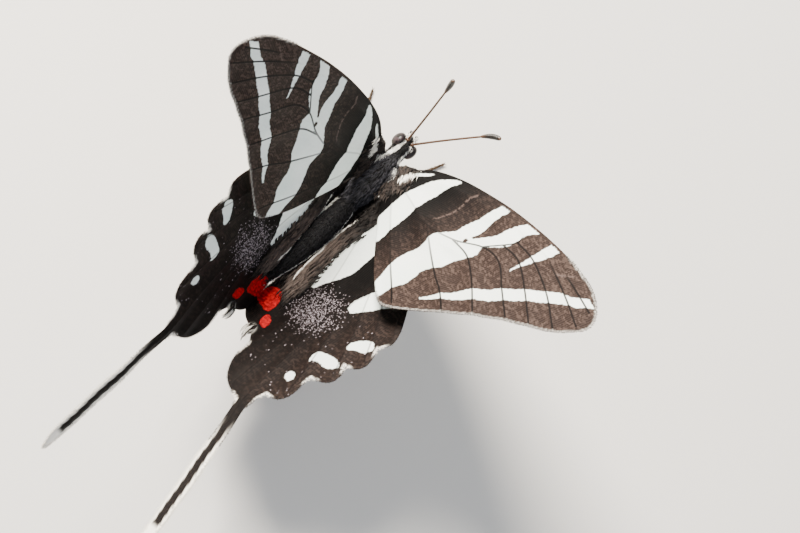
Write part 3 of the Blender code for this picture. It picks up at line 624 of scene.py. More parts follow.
def wingMaterial():
    # powdery scales laid like roof tiles: dull, faintly lined along their rows, ragged at each stripe
    look = wingFinish
    material, tree, shader, field = newMaterial(
        "butterfly wing scales, powdery overlapping rows",
        {"Roughness": 0.65, "Specular IOR Level": 0.08, "Sheen Weight": 0.015, "Sheen Roughness": 0.45},
        ("pale", "outer", "under", "vein", "ink", "red", "redUnder", "lineUnder", "faint", "dust", "fringe"))
    flat = addNode(tree, "Attribute", attribute_name="flat").outputs["Vector"]
    long = addNode(tree, "Mapping", {"Vector": flat, "Scale": (0.75, 1.35, 1.0)})
    cells = addNode(tree, "TexVoronoi", {"Vector": long, "Scale": 1 / look["scaleSize"], "Randomness": 0.85})
    grains = addNode(tree, "TexVoronoi", {"Vector": flat, "Scale": 1 / look["dustSize"], "Randomness": 1.0})
    chance, luck = (addNode(tree, "SeparateColor", {0: cell.outputs["Color"]}).outputs
                    for cell in (cells, grains))
    fine = addNode(tree, "TexNoise", {"Vector": flat, "Scale": 2.4, "Detail": 3.0})
    broad = addNode(tree, "TexNoise", {"Vector": flat, "Scale": 0.16, "Detail": 2.0})
    rows = addNode(tree, "TexWave", {"Vector": flat, "Scale": 0.314 / look["rowSpacing"], "Distortion": 1.2,
                                     "Detail": 1.0, "Detail Scale": 2.0}).outputs["Fac"]
    ragged = addNode(tree, "Math", {0: fine, 1: look["ragged"], 2: -look["ragged"] / 2},
                     operation="MULTIPLY_ADD")

    # how far each mark covers a point, from 0 to 1, its edge broken up by single scales
    cover = {}
    for name, low, high in (("pale", -0.08, 0.08), ("red", -0.05, 0.10), ("redUnder", -0.05, 0.05),
                            ("lineUnder", -0.05, 0.05)):
        rough = addNode(tree, "Math", {0: field[name], 1: ragged})
        cover[name] = addNode(tree, "MapRange", {0: rough, 1: low, 2: high}, interpolation_type="SMOOTHSTEP")
    nearVein = addNode(tree, "MapRange", {0: field["vein"], 1: 0.07, 2: 0.15, 3: 1.0, 4: 0.0},
                       interpolation_type="SMOOTHSTEP")
    powder = addNode(tree, "Math", {0: field["dust"], 1: 0.52}, operation="MULTIPLY")
    powder = addNode(tree, "Math", {0: powder, 1: luck[2]}, operation="GREATER_THAN")
    for name, spread, whole in (("fleck", {0: chance[0], 1: 0.5, 2: 1.0, 4: 0.6}, field["outer"]),
                                ("rows", {0: rows, 4: 0.22}, field["outer"]),
                                ("ink", {0: nearVein}, field["ink"]),
                                ("faint", {0: chance[1], 1: 0.1, 2: 0.6, 4: 0.75}, field["faint"]),
                                ("dust", {0: luck[1], 3: 0.15, 4: 0.95}, powder)):
        cover[name] = addNode(tree, "Math", {0: addNode(tree, "MapRange", spread), 1: whole},
                              operation="MULTIPLY")

    # the tints, then the colours, each laid over the one before
    shaded = addNode(tree, "MapRange", {0: chance[1], 4: 0.16})
    tint = {key: look[key] for key in ("black", "fleck", "faint", "veinInk", "dust", "red", "fringe")}
    for name, share, ground, over in (("mint", broad, look["white"], look["mint"]),
                                      ("pale", shaded, "mint", look["shadeWhite"]),
                                      ("ruddy", chance[2], look["red"], look["redDark"]),
                                      ("brown", field["under"], look["brown"], look["underBrown"])):
        tint[name] = addNode(tree, "Mix", {0: share, 6: tint.get(ground, ground), 7: over}, data_type="RGBA")
    colour = tint["black"]
    for share, over in ((field["outer"], "brown"), (cover["fleck"], "fleck"), (cover["rows"], "fleck"),
                        (cover["faint"], "faint"), (cover["pale"], "pale"), (cover["ink"], "veinInk"),
                        (cover["lineUnder"], "black"), (cover["dust"], "dust"), (cover["redUnder"], "red"),
                        (cover["red"], "ruddy"), (field["fringe"], "fringe")):
        colour = addNode(tree, "Mix", {0: share, 6: colour, 7: tint[over]}, data_type="RGBA")
    height = addNode(tree, "Math", {0: rows, 1: cells.outputs["Distance"]})
    bump = addNode(tree, "Bump", {"Strength": 0.35, "Distance": 0.03 * mm, "Height": height})
    feed(shader, {"Base Color": colour, "Normal": bump})
    return material


scalesOfWings = wingMaterial()
wings = []
for kind in kinds:
    for hand in hands:
        piece, flats, fields, ring = makeWing(kind, hand)
        finishPiece(piece, scalesOfWings, [kind + "_" + hand])
        wings.append((kind, hand, piece, flats, fields, ring))
        print("  ", piece.name, len(piece.data.polygons), "triangles")


print("body skin")


def circle(sides):
    turn = 2 * pi * np.arange(sides) / sides
    return np.cos(turn), np.sin(turn)


def ringAround(x, y, z, halfWidth, halfHeight, sides=40):
    across, up = circle(sides)
    return np.column_stack([x + halfWidth * across, np.full(sides, y), z + halfHeight * up])


def tubeRings(path, radii, sides):
    # rings square to a path, kept from twisting
    path = np.asarray(path, float)
    ahead = unit(np.gradient(path, axis=0))
    across = np.cross(ahead[0], (0.3, 0.5, 0.8))
    u, v = circle(sides)
    rings = []
    for centre, along, radius in zip(path, ahead, radii):
        across = across - along * (across @ along)
        across /= norm(across)
        rings.append(centre + radius * (u[:, None] * across + v[:, None] * np.cross(along, across)))
    return rings


def loftShape(rings):
    # one closed shell through the rings
    rings = list(rings)
    sides = len(rings[0])
    last = (len(rings) - 1) * sides
    faces = []
    for start in range(0, last, sides):
        for k in range(sides):
            a, b = start + k, start + (k + 1) % sides
            faces.append((a, b, b + sides, a + sides))
    return np.vstack(rings), faces + [tuple(range(sides))[::-1], tuple(range(last, last + sides))]


def joinShapes(shapes):
    points, faces, start = [], [], 0
    for some, theirs in shapes:
        points.append(some)
        faces += [tuple(i + start for i in f) for f in theirs]
        start += len(some)
    return np.vstack(points), faces


def outward(piece):
    # faces of each closed shell point outwards
    work = bmesh.new()
    work.from_mesh(piece.data)
    bmesh.ops.recalc_face_normals(work, faces=work.faces)
    work.to_mesh(piece.data)
    work.free()
    return piece


def thoraxRings():
    t = body["thorax"]
    for s in np.linspace(-1, 1, 25):
        y = (t["rear"] + t["front"]) / 2 + s * (t["front"] - t["rear"]) / 2
        swell = (1 - abs(0.93 * s) ** 2.6) ** 0.5
        yield ringAround(0.0, y, t["height"] + t["neckRise"] * max(0.0, s) ** 2,
                         t["halfWidth"] * swell - t["furDepth"], t["halfHeight"] * swell - t["furDepth"])


def shoulderRings(side):
    (x, y, z), (wide, long, high) = body["shoulder"]["at"], body["shoulder"]["size"]
    for s in np.linspace(-0.97, 0.97, 17):
        swell = (1 - s * s) ** 0.5
        yield ringAround(side * x, y + s * long, z - 0.25 * s * s, wide * swell, high * swell, 24)


def abdomenRings():
    a = body["abdomen"]
    for s in np.linspace(-0.10, 1.0, 111):
        part = max(0.0, s)
        into = (part * a["segments"]) % 1.0
        size = float(abdomenSize(s)) * (1 - a["groove"] * (1 - into) ** 6 - 0.4 * a["groove"] * into ** 8)
        x, z = abdomenCentre(part)
        yield ringAround(x, a["start"] - a["length"] * s, z, max(0.1, a["halfWidth"] * size - a["furDepth"]),
                         max(0.1, a["halfHeight"] * size - a["furDepth"]))


def headRings():
    h = body["head"]
    for s in np.linspace(0, 1, 20):
        swell = (1 - (abs(2 * s - 0.9) * 0.88) ** 2.3) ** 0.5
        ring = ringAround(0.0, h["rear"] + (h["front"] - h["rear"]) * s, h["height"] - h["droop"] * s * s,
                          1.3 * h["halfWidth"] * swell - h["furDepth"],
                          h["halfHeight"] * swell - h["furDepth"])
        ring[:, 0] = np.clip(ring[:, 0], -h["halfWidth"], h["halfWidth"])
        yield ring


def palpRings(side):
    # the furry mouth feelers, in front of the face
    p = body["palp"]
    shares = np.linspace(0, 1, 12)
    path = (np.array(p["root"]) + np.array(p["reach"]) * shares[:, None]) * (side, 1, 1)
    return tubeRings(path, p["radius"] * (1 - 0.55 * shares ** 2), 16)


def makeSkin():
    neck = [ringAround(0.0, y, 0.0, body["neckRadius"], body["neckRadius"] * 1.1)
            for y in np.linspace(3.0, 5.4, 8)]
    shapes = [loftShape(rings) for rings in (thoraxRings(), abdomenRings(), neck, shoulderRings(1),
                                             shoulderRings(-1), headRings(), palpRings(1), palpRings(-1))]
    shapes[5:] = [(turnHead(points), faces) for points, faces in shapes[5:]]
    # merged at millimetre size, then brought to metres
    skin = outward(addObject("bodySkin", *joinShapes(shapes)))
    merge = skin.modifiers.new("one skin", "REMESH")
    merge.mode = "VOXEL"
    merge.voxel_size = body["voxel"]
    merge.use_smooth_shade = True
    soften = skin.modifiers.new("soften", "SMOOTH")
    soften.factor = 0.5
    soften.iterations = 4
    bakeModifiers(skin)
    skin.data.transform(Matrix.Translation(Vector(bodyOrigin)) @ Matrix.Scale(mm, 4))
    return skin


def roundAngle(points):
    # turn about the body's middle: 0 on top, positive to the right, half a turn below
    a = body["abdomen"]
    y = points[:, 1]
    x, low = abdomenCentre(np.clip((a["start"] - y) / a["length"], 0, 1))
    z = np.interp(y, [a["start"], 0.0, 4.1, 5.4, 7.2], [a["height"], -0.75, -0.1, 0.05, -0.1])
    z = np.where(y < a["start"], low, z)
    return np.arctan2(points[:, 0] - x, points[:, 2] - z) - radians(stance["headRoll"]) * ramp(y, 3.6, 5.0)


def coatTone(points):
    # share of white: a line from the wing's base to the eye, pale flanks and belly
    y = points[:, 1]
    turn = np.abs(roundAngle(points)) / pi * 180
    middle = np.interp(y, [-3.4, 0.5, 2.2, 3.4, 4.4, 5.2, 6.2, 7.2], [60, 54, 46, 42, 42, 35, 32, 34])
    half = np.interp(y, [-3.4, 0.5, 2.4, 3.4, 4.4, 5.2, 6.2, 7.2], [4, 5, 7, 14, 23, 16, 13, 12])
    half *= np.where(points[:, 0] > 0, 0.72, 1.0)
    shoulder = fade(np.abs(turn - middle) / half, 0.6, 1.1) * ramp(y, -0.5, 1.2)
    shoulder *= 0.55 + 0.45 * ramp(y, 2.6, 3.6)
    face = ramp(y, 6.4, 6.8) * ramp(turn, 16, 30) * fade(y, 7.3, 7.6)
    front = np.maximum(shoulder, face) + 0.6 * np.exp(-((turn - 100) / 9) ** 2) * ramp(y, -4.0, -2.0)
    rear = ramp(turn, 62, 70) * fade(turn, 96, 104) + 0.85 * ramp(turn, 124, 134)
    behind = fade(y, -4.2, -3.4)
    return np.clip((1 - behind) * front + behind * rear, 0, 1)


def dressSkin(mesh):
    points = (readOut(mesh.vertices, "co", 3) - bodyOrigin) / mm
    normals = readOut(mesh.vertices, "normal", 3)
    y = points[:, 1]
    back = np.tile([0.0, -1.0, 0.0], (len(points), 1))
    back[:, 0] += 0.25 * np.sign(points[:, 0]) * np.abs(normals[:, 0])
    back[y > 6.0] = (0.0, 0.8, -0.25)
    lie = back - normals * np.sum(back * normals, axis=1)[:, None]
    lie /= np.maximum(norm(lie, axis=1), 1e-6)[:, None]
    setNumbers(mesh, {"tone": coatTone(points), "lie": lie,
                      "grey": 0.15 + 0.85 * ramp(y, -4.2, -2.6) * fade(y, 3.0, 4.6)})
    # unrolled about the body's middle, each face whole where the map is cut along the belly
    index = cornerPoints(mesh)
    corner = (roundAngle(points) / (2 * pi) + 0.5)[index]
    sizes = readOut(mesh.polygons, "loop_total", kind=np.int32)
    group = np.repeat(np.arange(len(sizes)), sizes)
    highest = np.full(len(sizes), -9.0)
    np.maximum.at(highest, group, corner)
    corner = np.where((highest[group] - corner) > 0.5, corner + 1, corner)
    setMap(mesh, np.column_stack([0.05 + corner * 0.85, 0.02 + ((y + 19.0) / 28.0)[index] * 0.96]))
    return y


def tuftShape():
    # one closed tapering tuft, a millimetre long, bent over towards its tip
    points = []
    for y, wide, z in ((-0.08, 1.0, -0.10), (0.35, 0.85, 0.13), (0.72, 0.5, 0.13)):
        points += [(-0.5 * wide, y, z), (0.5 * wide, y, z), (0.0, y, z + 0.16 * wide)]
    points.append((0.0, 1.0, 0.02))
    faces = [(0, 1, 2)]
    for r in (0, 3):
        faces += [(r + b, r + a, r + a + 3, r + b + 3) for a, b in ((0, 1), (1, 2), (2, 0))]
    faces += [(7, 6, 9), (8, 7, 9), (6, 8, 9)]
    piece = outward(addObject("tuftShape", points, faces))
    setNumbers(piece.data, {"tuftMap": [(p[0] + 0.5, p[1], 0.0) for p in points]})
    return piece


def tuftTree():
    # tufts set over a skin along its lie, each a copy of one shape, made real at the end
    tree = bpy.data.node_groups.new("tufts along the lie", "GeometryNodeTree")
    sockets = {}
    for name, kind in (("Skin", "Geometry"), ("Tuft", "Object"), ("Amount", "Float"), ("Length", "Float"),
                       ("Width", "Float"), ("Lift", "Float"), ("Scatter", "Float"), ("Seed", "Int"),
                       ("Finish", "Material")):
        socket = tree.interface.new_socket(name, in_out="INPUT", socket_type="NodeSocket" + kind)
        sockets[name] = socket.identifier
    tree.interface.new_socket("Coat", in_out="OUTPUT", socket_type="NodeSocketGeometry")
    given = addNode(tree, "NodeGroupInput").outputs
    kept = {}
    for name in ("density", "length", "shade", "lie", "OFBake", "rootMap", "tuftMap"):
        kind = "FLOAT" if name in ("density", "length", "shade") else "FLOAT_VECTOR"
        kept[name] = addNode(tree, "GeometryNodeInputNamedAttribute", {"Name": name}, data_type=kind)

    density = addNode(tree, "Math", {0: given["Amount"], 1: kept["density"]}, operation="MULTIPLY")
    spread = addNode(tree, "GeometryNodeDistributePointsOnFaces",
                     {"Mesh": given["Skin"], "Density": density, "Seed": given["Seed"]},
                     distribute_method="RANDOM").outputs
    chance = addNode(tree, "FunctionNodeRandomValue", {"Seed": given["Seed"]}, data_type="FLOAT")
    spots = spread["Points"]
    for name, value, kind in (("shade", chance, "FLOAT"), ("rootMap", kept["OFBake"], "FLOAT_VECTOR")):
        spots = addNode(tree, "GeometryNodeStoreNamedAttribute",
                        {"Geometry": spots, "Name": name, "Value": value}, data_type=kind, domain="POINT")
    wild = addNode(tree, "FunctionNodeRandomValue", {0: (-1.0,) * 3, 1: (1.0,) * 3, "Seed": given["Seed"]},
                   data_type="FLOAT_VECTOR")
    ahead = kept["lie"]
    for way, share in ((wild, "Scatter"), (spread["Normal"], "Lift")):
        push = addNode(tree, "VectorMath", {0: way, "Scale": given[share]}, operation="SCALE")
        ahead = addNode(tree, "VectorMath", {0: ahead, 1: push})
    turn = addNode(tree, "FunctionNodeAxesToRotation", {0: ahead, 1: spread["Normal"]},
                   primary_axis="Y", secondary_axis="Z")
    vary = addNode(tree, "MapRange", {0: kept["shade"], 3: 0.65, 4: 1.15})
    long = addNode(tree, "Math", {0: given["Length"], 1: kept["length"]}, operation="MULTIPLY")
    long, wide = (addNode(tree, "Math", {0: size, 1: vary}, operation="MULTIPLY")
                  for size in (long, given["Width"]))
    size = addNode(tree, "CombineXYZ", {0: wide, 1: long, 2: long})
    shape = addNode(tree, "GeometryNodeObjectInfo", {"Object": given["Tuft"]}).outputs["Geometry"]
    copies = addNode(tree, "GeometryNodeInstanceOnPoints",
                     {"Points": spots, "Instance": shape, "Rotation": turn, "Scale": size})
    real = addNode(tree, "GeometryNodeRealizeInstances", {"Geometry": copies})
    # each tuft's patch on the unwrap is 0.003 across, at its root's place
    patch = addNode(tree, "VectorMath", {0: kept["tuftMap"], "Scale": 0.003}, operation="SCALE")
    onMap = addNode(tree, "VectorMath", {0: kept["rootMap"], 1: patch})
    real = addNode(tree, "GeometryNodeStoreNamedAttribute",
                   {"Geometry": real, "Name": "OFBake", "Value": onMap}, data_type="FLOAT2", domain="CORNER")
    for name in ("rootMap", "tuftMap", "lie", "density", "length"):
        real = addNode(tree, "GeometryNodeRemoveAttribute", {"Geometry": real, "Name": name})
    done = addNode(tree, "GeometryNodeSetMaterial", {"Geometry": real, "Material": given["Finish"]})
    addNode(tree, "NodeGroupOutput", {0: done})
    return tree, sockets


tuftPiece = tuftShape()
tufts, tuftSockets = tuftTree()


def growTufts(name, skin, marks, settings, finish):
    # marks are numbers at each of the skin's points: density and length, and any to be changed
    mesh = skin.data.copy()
    for key in [a.name for a in mesh.attributes if not (a.is_internal or a.is_required)]:
        if key in marks or key not in ("OFBake", "tone", "grey", "lie"):
            mesh.attributes.remove(mesh.attributes[key])
    setNumbers(mesh, marks)
    piece = linked(name, mesh)
    grow = piece.modifiers.new("tufts", "NODES")
    grow.node_group = tufts
    for key, value in {"Tuft": tuftPiece, "Amount": settings["amount"] / mm ** 2,
                       "Length": settings["length"] * mm, "Width": settings["width"] * mm,
                       "Lift": settings["lift"], "Scatter": settings["scatter"],
                       "Seed": settings["seed"], "Finish": finish}.items():
        grow[tuftSockets[key]] = value
    bakeModifiers(piece)
    print("  ", name, len(piece.data.polygons), "faces")
    return piece


furFinish = {
    "body": {"dark": "#0c0b0c", "grey": "#4c4c52", "pale": "#f4f3ee", "roughness": 0.7},
    "wing": {"dark": "#0b0807", "grey": "#6f6058", "pale": "#f5f1e8", "roughness": 0.6},
    "leg": {"dark": "#3a2c20", "grey": "#a08a6c", "pale": "#e6dcc6", "roughness": 0.6},
    "grain": 0.12,   # mm
}


def furMaterial(name, look):
    # soft hair scales: dull, a little sheen along the edge, single ones paler than the rest
    material, tree, shader, field = newMaterial(
        name, {"Roughness": look["roughness"], "Specular IOR Level": 0.2, "Sheen Weight": 0.06,
               "Sheen Roughness": 0.4}, ("tone", "grey", "shade"))
    pick = addNode(tree, "MapRange", {0: field["shade"], 1: 0.3, 2: 1.0, 3: 0.0, 4: 0.9})
    pick = addNode(tree, "Math", {0: pick, 1: field["grey"]}, operation="MULTIPLY")
    white = addNode(tree, "MapRange", {0: field["tone"], 1: 0.35, 2: 0.65}, interpolation_type="SMOOTHSTEP")
    colour = look["dark"]
    for share, over in ((pick, look["grey"]), (white, look["pale"])):
        colour = addNode(tree, "Mix", {0: share, 6: colour, 7: over}, data_type="RGBA")
    spot = addNode(tree, "TexCoord").outputs["Object"]
    grain = addNode(tree, "TexNoise",
                    {"Vector": spot, "Scale": 1 / (furFinish["grain"] * mm), "Detail": 2.0})
    bump = addNode(tree, "Bump", {"Strength": 0.4, "Distance": 0.02 * mm, "Height": grain})
    feed(shader, {"Base Color": colour, "Normal": bump})
    return material


bodyCoats = {
    "thoraxFur": {"amount": 62.0, "length": 0.72, "width": 0.10, "lift": 0.34, "scatter": 0.20, "seed": 3},
    "abdomenFur": {"amount": 44.0, "length": 0.42, "width": 0.13, "lift": 0.16, "scatter": 0.10, "seed": 5},
    "headFur": {"amount": 105.0, "length": 0.50, "width": 0.08, "lift": 0.42, "scatter": 0.22, "seed": 7},
}
bodyFur = furMaterial("body hair scales, soft and dark grey to black", furFinish["body"])
skin = makeSkin()
along = dressSkin(skin.data)
skin.data.materials.append(bodyFur)
onThorax = ramp(along, -4.0, -3.2) * fade(along, 4.0, 4.6)
reach = {"thoraxFur": onThorax, "abdomenFur": fade(along, -4.2, -3.4), "headFur": ramp(along, 4.0, 4.6)}
coats = []
for name, settings in bodyCoats.items():
    long = 0.75 + 0.35 * onThorax if name == "thoraxFur" else np.ones(len(along))
    coats.append(growTufts(name, skin, {"density": reach[name], "length": long}, settings, bodyFur))
finishPiece(skin, None, ["thorax", "abdomen", "head", "palp_right", "palp_left"])
for piece in coats:
    finishPiece(piece)


print("hair and fringe of the wings")
wingHair = {"amount": 32.0, "width": 0.04, "lift": 0.10, "scatter": 0.08, "length": 1.0, "seed": 11,
            "long": 1.9, "short": 1.1, "forewing": (0.75, -0.55, 0.0), "hindwing": (0.16, -1.0, 0.0)}
wingFringe = {"amount": 110.0, "width": 0.06, "lift": 0.0, "scatter": 0.05, "length": 0.20, "seed": 13}


def edgeOutward(flats, ring):
    # straight out over the nearest part of the edge, for each point
    best = np.full(len(flats), 1e9)
    toward = np.zeros((len(flats), 3))
    for gap, span in gaps(flats, np.vstack([ring, ring[:1]])):
        closer = gap < best
        best[closer] = gap[closer]
        toward[closer] = np.array([-span[1], span[0], 0.0]) / max(1e-9, norm(span))
    return toward


def growWingHair(kind, hand, piece, flats, fields, ring, finish):
    # long hair near the body, and short fringe scales along the outer edge
    turn = wingTurn(kinds[kind]["hold"][hand])
    root = fade(np.hypot(*flats.T), 2.6, 4.6)
    trim = fields["trim"] * fade(fields["edge"], 0.10, 0.28)
    white = ramp(fields["fringe"], 0.75, 0.95)
    reach = wingHair["long"] + (wingHair["short"] - wingHair["long"]) * root
    for name, settings, lie, upper, lower, length, tone, grey in (
            ("Hair", wingHair, np.tile(wingHair[kind], (len(flats), 1)), fields["hair"],
             root * fields["hair"], reach, fields["hairTone"], fields["hairGrey"]),
            ("Fringe", wingFringe, edgeOutward(flats, ring), trim, trim, 1 + 0.7 * white, white,
             np.full(len(flats), 0.7))):
        lie = unit(lie) @ turn.T * (hands[hand], 1, 1)
        marks = {"density": np.concatenate([upper, lower]), "length": np.tile(length, 2),
                 "tone": np.tile(tone, 2), "grey": np.tile(grey, 2), "lie": np.vstack([lie, lie])}
        finishPiece(growTufts(kind + name + "." + hand, piece, marks, settings, finish))


hairOfWings = furMaterial("wing hair and fringe scales, fine and dull", furFinish["wing"])
for one in wings:
    growWingHair(*one, hairOfWings)


print("eyes")
eye = {"along": 5.85, "height": 0.25, "radius": 0.95, "rim": 1.02, "inner": 0.50, "bulge": 0.64,
       "roundness": 0.9, "arc": (-55, 87), "rings": 36, "sides": 64}   # the arc in degrees
eyeFinish = {"dark": "#0d0a0b", "light": "#3a2f32", "mottle": 0.6,
             "facet": 0.07}   # mm; real facets are 0.03 mm, too fine to show, so twice as wide


def eyeRings(side):
    across, up = circle(eye["sides"])
    for a in np.radians(np.linspace(*eye["arc"], eye["rings"])):
        x = eye["rim"] + (eye["bulge"] if a > 0 else eye["inner"]) * sin(a)
        size = eye["radius"] * cos(a) ** eye["roundness"]
        yield turnHead(np.column_stack([np.full(eye["sides"], side * x), eye["along"] + size * across,
                                        eye["height"] + size * up]))


def eyeMaterial():
    # a compound eye: dark horn under a clear wet-looking skin, pebbled with facets
    look = eyeFinish
    material, tree, shader = newMaterial("compound eye, dark glossy facets", {
        "Roughness": 0.40, "Specular IOR Level": 0.22, "Coat Weight": 0.10, "Coat Roughness": 0.12})[:3]
    spot = addNode(tree, "TexCoord").outputs["Object"]
    cells = addNode(tree, "TexVoronoi",
                    {"Vector": spot, "Scale": 1 / (look["facet"] * mm), "Randomness": 0.45})
    cloud = addNode(tree, "TexNoise", {"Vector": spot, "Scale": 1 / (look["mottle"] * mm), "Detail": 2.0})
    share = addNode(tree, "MapRange", {0: cloud, 1: 0.42, 2: 0.68})
    colour = addNode(tree, "Mix", {0: share, 6: look["dark"], 7: look["light"]}, data_type="RGBA")
    bump = addNode(tree, "Bump", {"Strength": 0.5, "Distance": 0.012 * mm, "Height": cells}, invert=True)
    feed(shader, {"Base Color": colour, "Normal": bump})
    return material


def addLoft(name, rings, marks=None):
    points, faces = loftShape(rings)
    piece = outward(addObject(name, place(points), faces))
    setNumbers(piece.data, marks or {})
    return piece


facets = eyeMaterial()
for hand, side in hands.items():
    finishPiece(addLoft("eyeDome." + hand, eyeRings(side)), facets, ["eye_" + hand])


print("feelers and tongue")
antenna = {
    "root": (0.36, 6.4, 0.75), "reach": (4.13, 5.69, 10.0), "bow": (-0.25, -0.2, -0.5),
    "hook": 0.8, "hookShare": 0.2, "radius": 0.145, "base": 0.26, "clubRadius": 0.36, "clubLength": 2.7,
    "joints": 52, "groove": 0.13, "grooveWidth": 0.16, "thinning": 0.15, "collarAt": 0.012, "sides": 18,
}
tongue = {
    "root": (0.0, 6.5, -0.75), "ahead": 0.25, "below": 1.8, "coil": 1.05, "shrink": 0.62,
    "start": 70.0, "turns": 1.55, "radius": 0.20, "tip": 0.10, "ribs": 110, "rib": 0.07, "sides": 14,
    "inside": 0.3,   # how far the root reaches up into the face
}
hornFinish = {
    # the shaft, its grooves, the club and its tip
    "feeler": ("#53351f", "#2a1a10", "#15100c", "#4a3322"),
    "tongue": ("#2c1a10", "#15100c", "#15100c", "#4a3322"),
}


def antennaShape(side):
    a = antenna
    shares = np.linspace(-0.03, 1.0, a["joints"] * 7)
    path = np.array(a["root"]) + shares[:, None] * np.array(a["reach"])
    path += np.sin(pi * np.clip(shares, 0, 1))[:, None] * np.array(a["bow"])
    path[:, 1] -= a["hook"] * np.clip(1 - (1 - shares) / a["hookShare"], 0, 1) ** 2
    intoClub = np.clip(1 - (1 - shares) * norm(a["reach"]) / a["clubLength"], 0, 1)
    swell = np.sin(pi * (0.04 + 0.80 * intoClub)) ** 0.8 * (intoClub > 0)
    radii = a["radius"] * (1 - a["thinning"] * shares) + (a["clubRadius"] - a["radius"]) * swell
    radii *= 1 - ramp(shares, 0.975, 1.03) * 0.9
    radii += (a["base"] - a["radius"]) * fade(np.abs(shares - a["collarAt"]), 0.010, 0.022)
    into = (shares * a["joints"]) % 1.0
    radii *= 1 - a["groove"] * np.exp(-(np.minimum(into, 1 - into) / a["grooveWidth"]) ** 2)
    rings = [turnHead(ring) for ring in tubeRings(path * (side, 1, 1), radii, a["sides"])]
    return rings, {"along": np.repeat(intoClub, a["sides"]), "joint": np.repeat(into, a["sides"])}


def tongueShape():
    t = tongue
    root = np.array(t["root"])
    shares = np.linspace(0, 1, t["ribs"] * 5)
    turn = radians(t["start"]) - 2 * pi * t["turns"] * shares
    size = t["coil"] * (1 - t["shrink"] * shares)
    coil = root + (0.0, t["ahead"], -t["below"])
    coil = coil + np.column_stack([np.zeros(len(shares)), size * np.cos(turn), size * np.sin(turn)])
    stalk = np.linspace(root + (0.0, 0.0, t["inside"]), coil[0], 24)[:-1]
    radii = np.concatenate([np.full(len(stalk), t["radius"]),
                            t["radius"] + (t["tip"] - t["radius"]) * shares])
    into = np.concatenate([np.zeros(len(stalk)), (shares * t["ribs"]) % 1.0])
    radii *= 1 - t["rib"] * np.cos(2 * pi * into)
    rings = [turnHead(ring) for ring in tubeRings(np.vstack([stalk, coil]), radii, t["sides"])]
    return rings, {"along": np.zeros(len(into) * t["sides"]), "joint": np.repeat(into, t["sides"])}


def hornMaterial(name, shaft, groove, club, tip):
    # jointed horn: satin brown, darker in the grooves and towards the club
    material, tree, shader, field = newMaterial(
        name, {"Roughness": 0.38, "IOR": 1.54, "Coat Weight": 0.15}, ("along", "joint"))
    colour = shaft
    for mark, low, high, curve, over in (("joint", 0.55, 0.95, "SMOOTHSTEP", groove),
                                         ("along", 0.0, 0.35, "SMOOTHSTEP", club),
                                         ("along", 0.9, 1.0, "LINEAR", tip)):
        share = addNode(tree, "MapRange", {0: field[mark], 1: low, 2: high}, interpolation_type=curve)
        colour = addNode(tree, "Mix", {0: share, 6: colour, 7: over}, data_type="RGBA")
    spot = addNode(tree, "TexCoord").outputs["Object"]
    grain = addNode(tree, "TexNoise", {"Vector": spot, "Scale": 1 / (0.06 * mm)})
    bump = addNode(tree, "Bump", {"Strength": 0.3, "Distance": 0.01 * mm, "Height": grain})
    feed(shader, {"Base Color": colour, "Normal": bump})
    return material


feelerHorn = hornMaterial("feeler horn, jointed and satin", *hornFinish["feeler"])
tongueHorn = hornMaterial("tongue horn, ribbed and satin", *hornFinish["tongue"])
for hand, side in hands.items():
    finishPiece(addLoft("feeler." + hand, *antennaShape(side)), feelerHorn, ["antenna_" + hand])
finishPiece(addLoft("tongueCoil", *tongueShape()), tongueHorn, ["proboscis"])


print("legs")
floorLevel = -stance["height"]
legs = {
    # where each right leg leaves the thorax, then the ends of coxa, femur, tibia and foot
    "fore": [(0.62, 2.1, -1.9), (1.15, 2.6, -3.7), (3.0, 5.3, -2.8), (4.7, 7.7, -6.8), (6.1, 10.9, -7.4)],
    "mid": [(0.7, -0.3, -2.1), (1.5, -0.5, -3.9), (5.0, -0.1, -2.7), (7.3, -0.5, -6.8), (10.7, -1.5, -7.4)],
    "hind": [(0.66, -2.3, -2.0), (1.3, -3.1, -3.8), (3.7, -6.4, -2.9), (5.2, -9.9, -6.8),
             (6.5, -14.0, -7.4)],
}
legShape = {
    # share of each length and the radius there
    "coxa": [(0.0, 0.44), (0.5, 0.46), (0.85, 0.38), (0.97, 0.26)],
    "femur": [(0.05, 0.24), (0.12, 0.29), (0.35, 0.36), (0.6, 0.34), (0.88, 0.26), (0.97, 0.22)],
    "tibia": [(0.04, 0.22), (0.12, 0.24), (0.4, 0.23), (0.75, 0.22), (0.92, 0.25), (0.985, 0.19)],
    "footJoints": [0.0, 0.40, 0.58, 0.73, 0.86, 1.0],
    "foot": [(0.06, 0.13), (0.25, 0.17), (0.8, 0.19), (0.96, 0.15)],
    "heel": (0.03, -7.36), "sides": 20, "footTaper": 0.25,
    "claw": {"length": 0.42, "spread": 0.16, "radius": 0.045, "taper": 0.8, "back": 0.05, "arch": 0.16,
             "droop": 0.10},
    "spur": {"length": 0.85, "spread": 0.30, "radius": 0.05, "taper": 0.75, "back": 0.45, "down": 0.55},
}
legCoat = {"amount": 34.0, "length": 0.30, "width": 0.085, "lift": 0.20, "scatter": 0.12, "seed": 21}


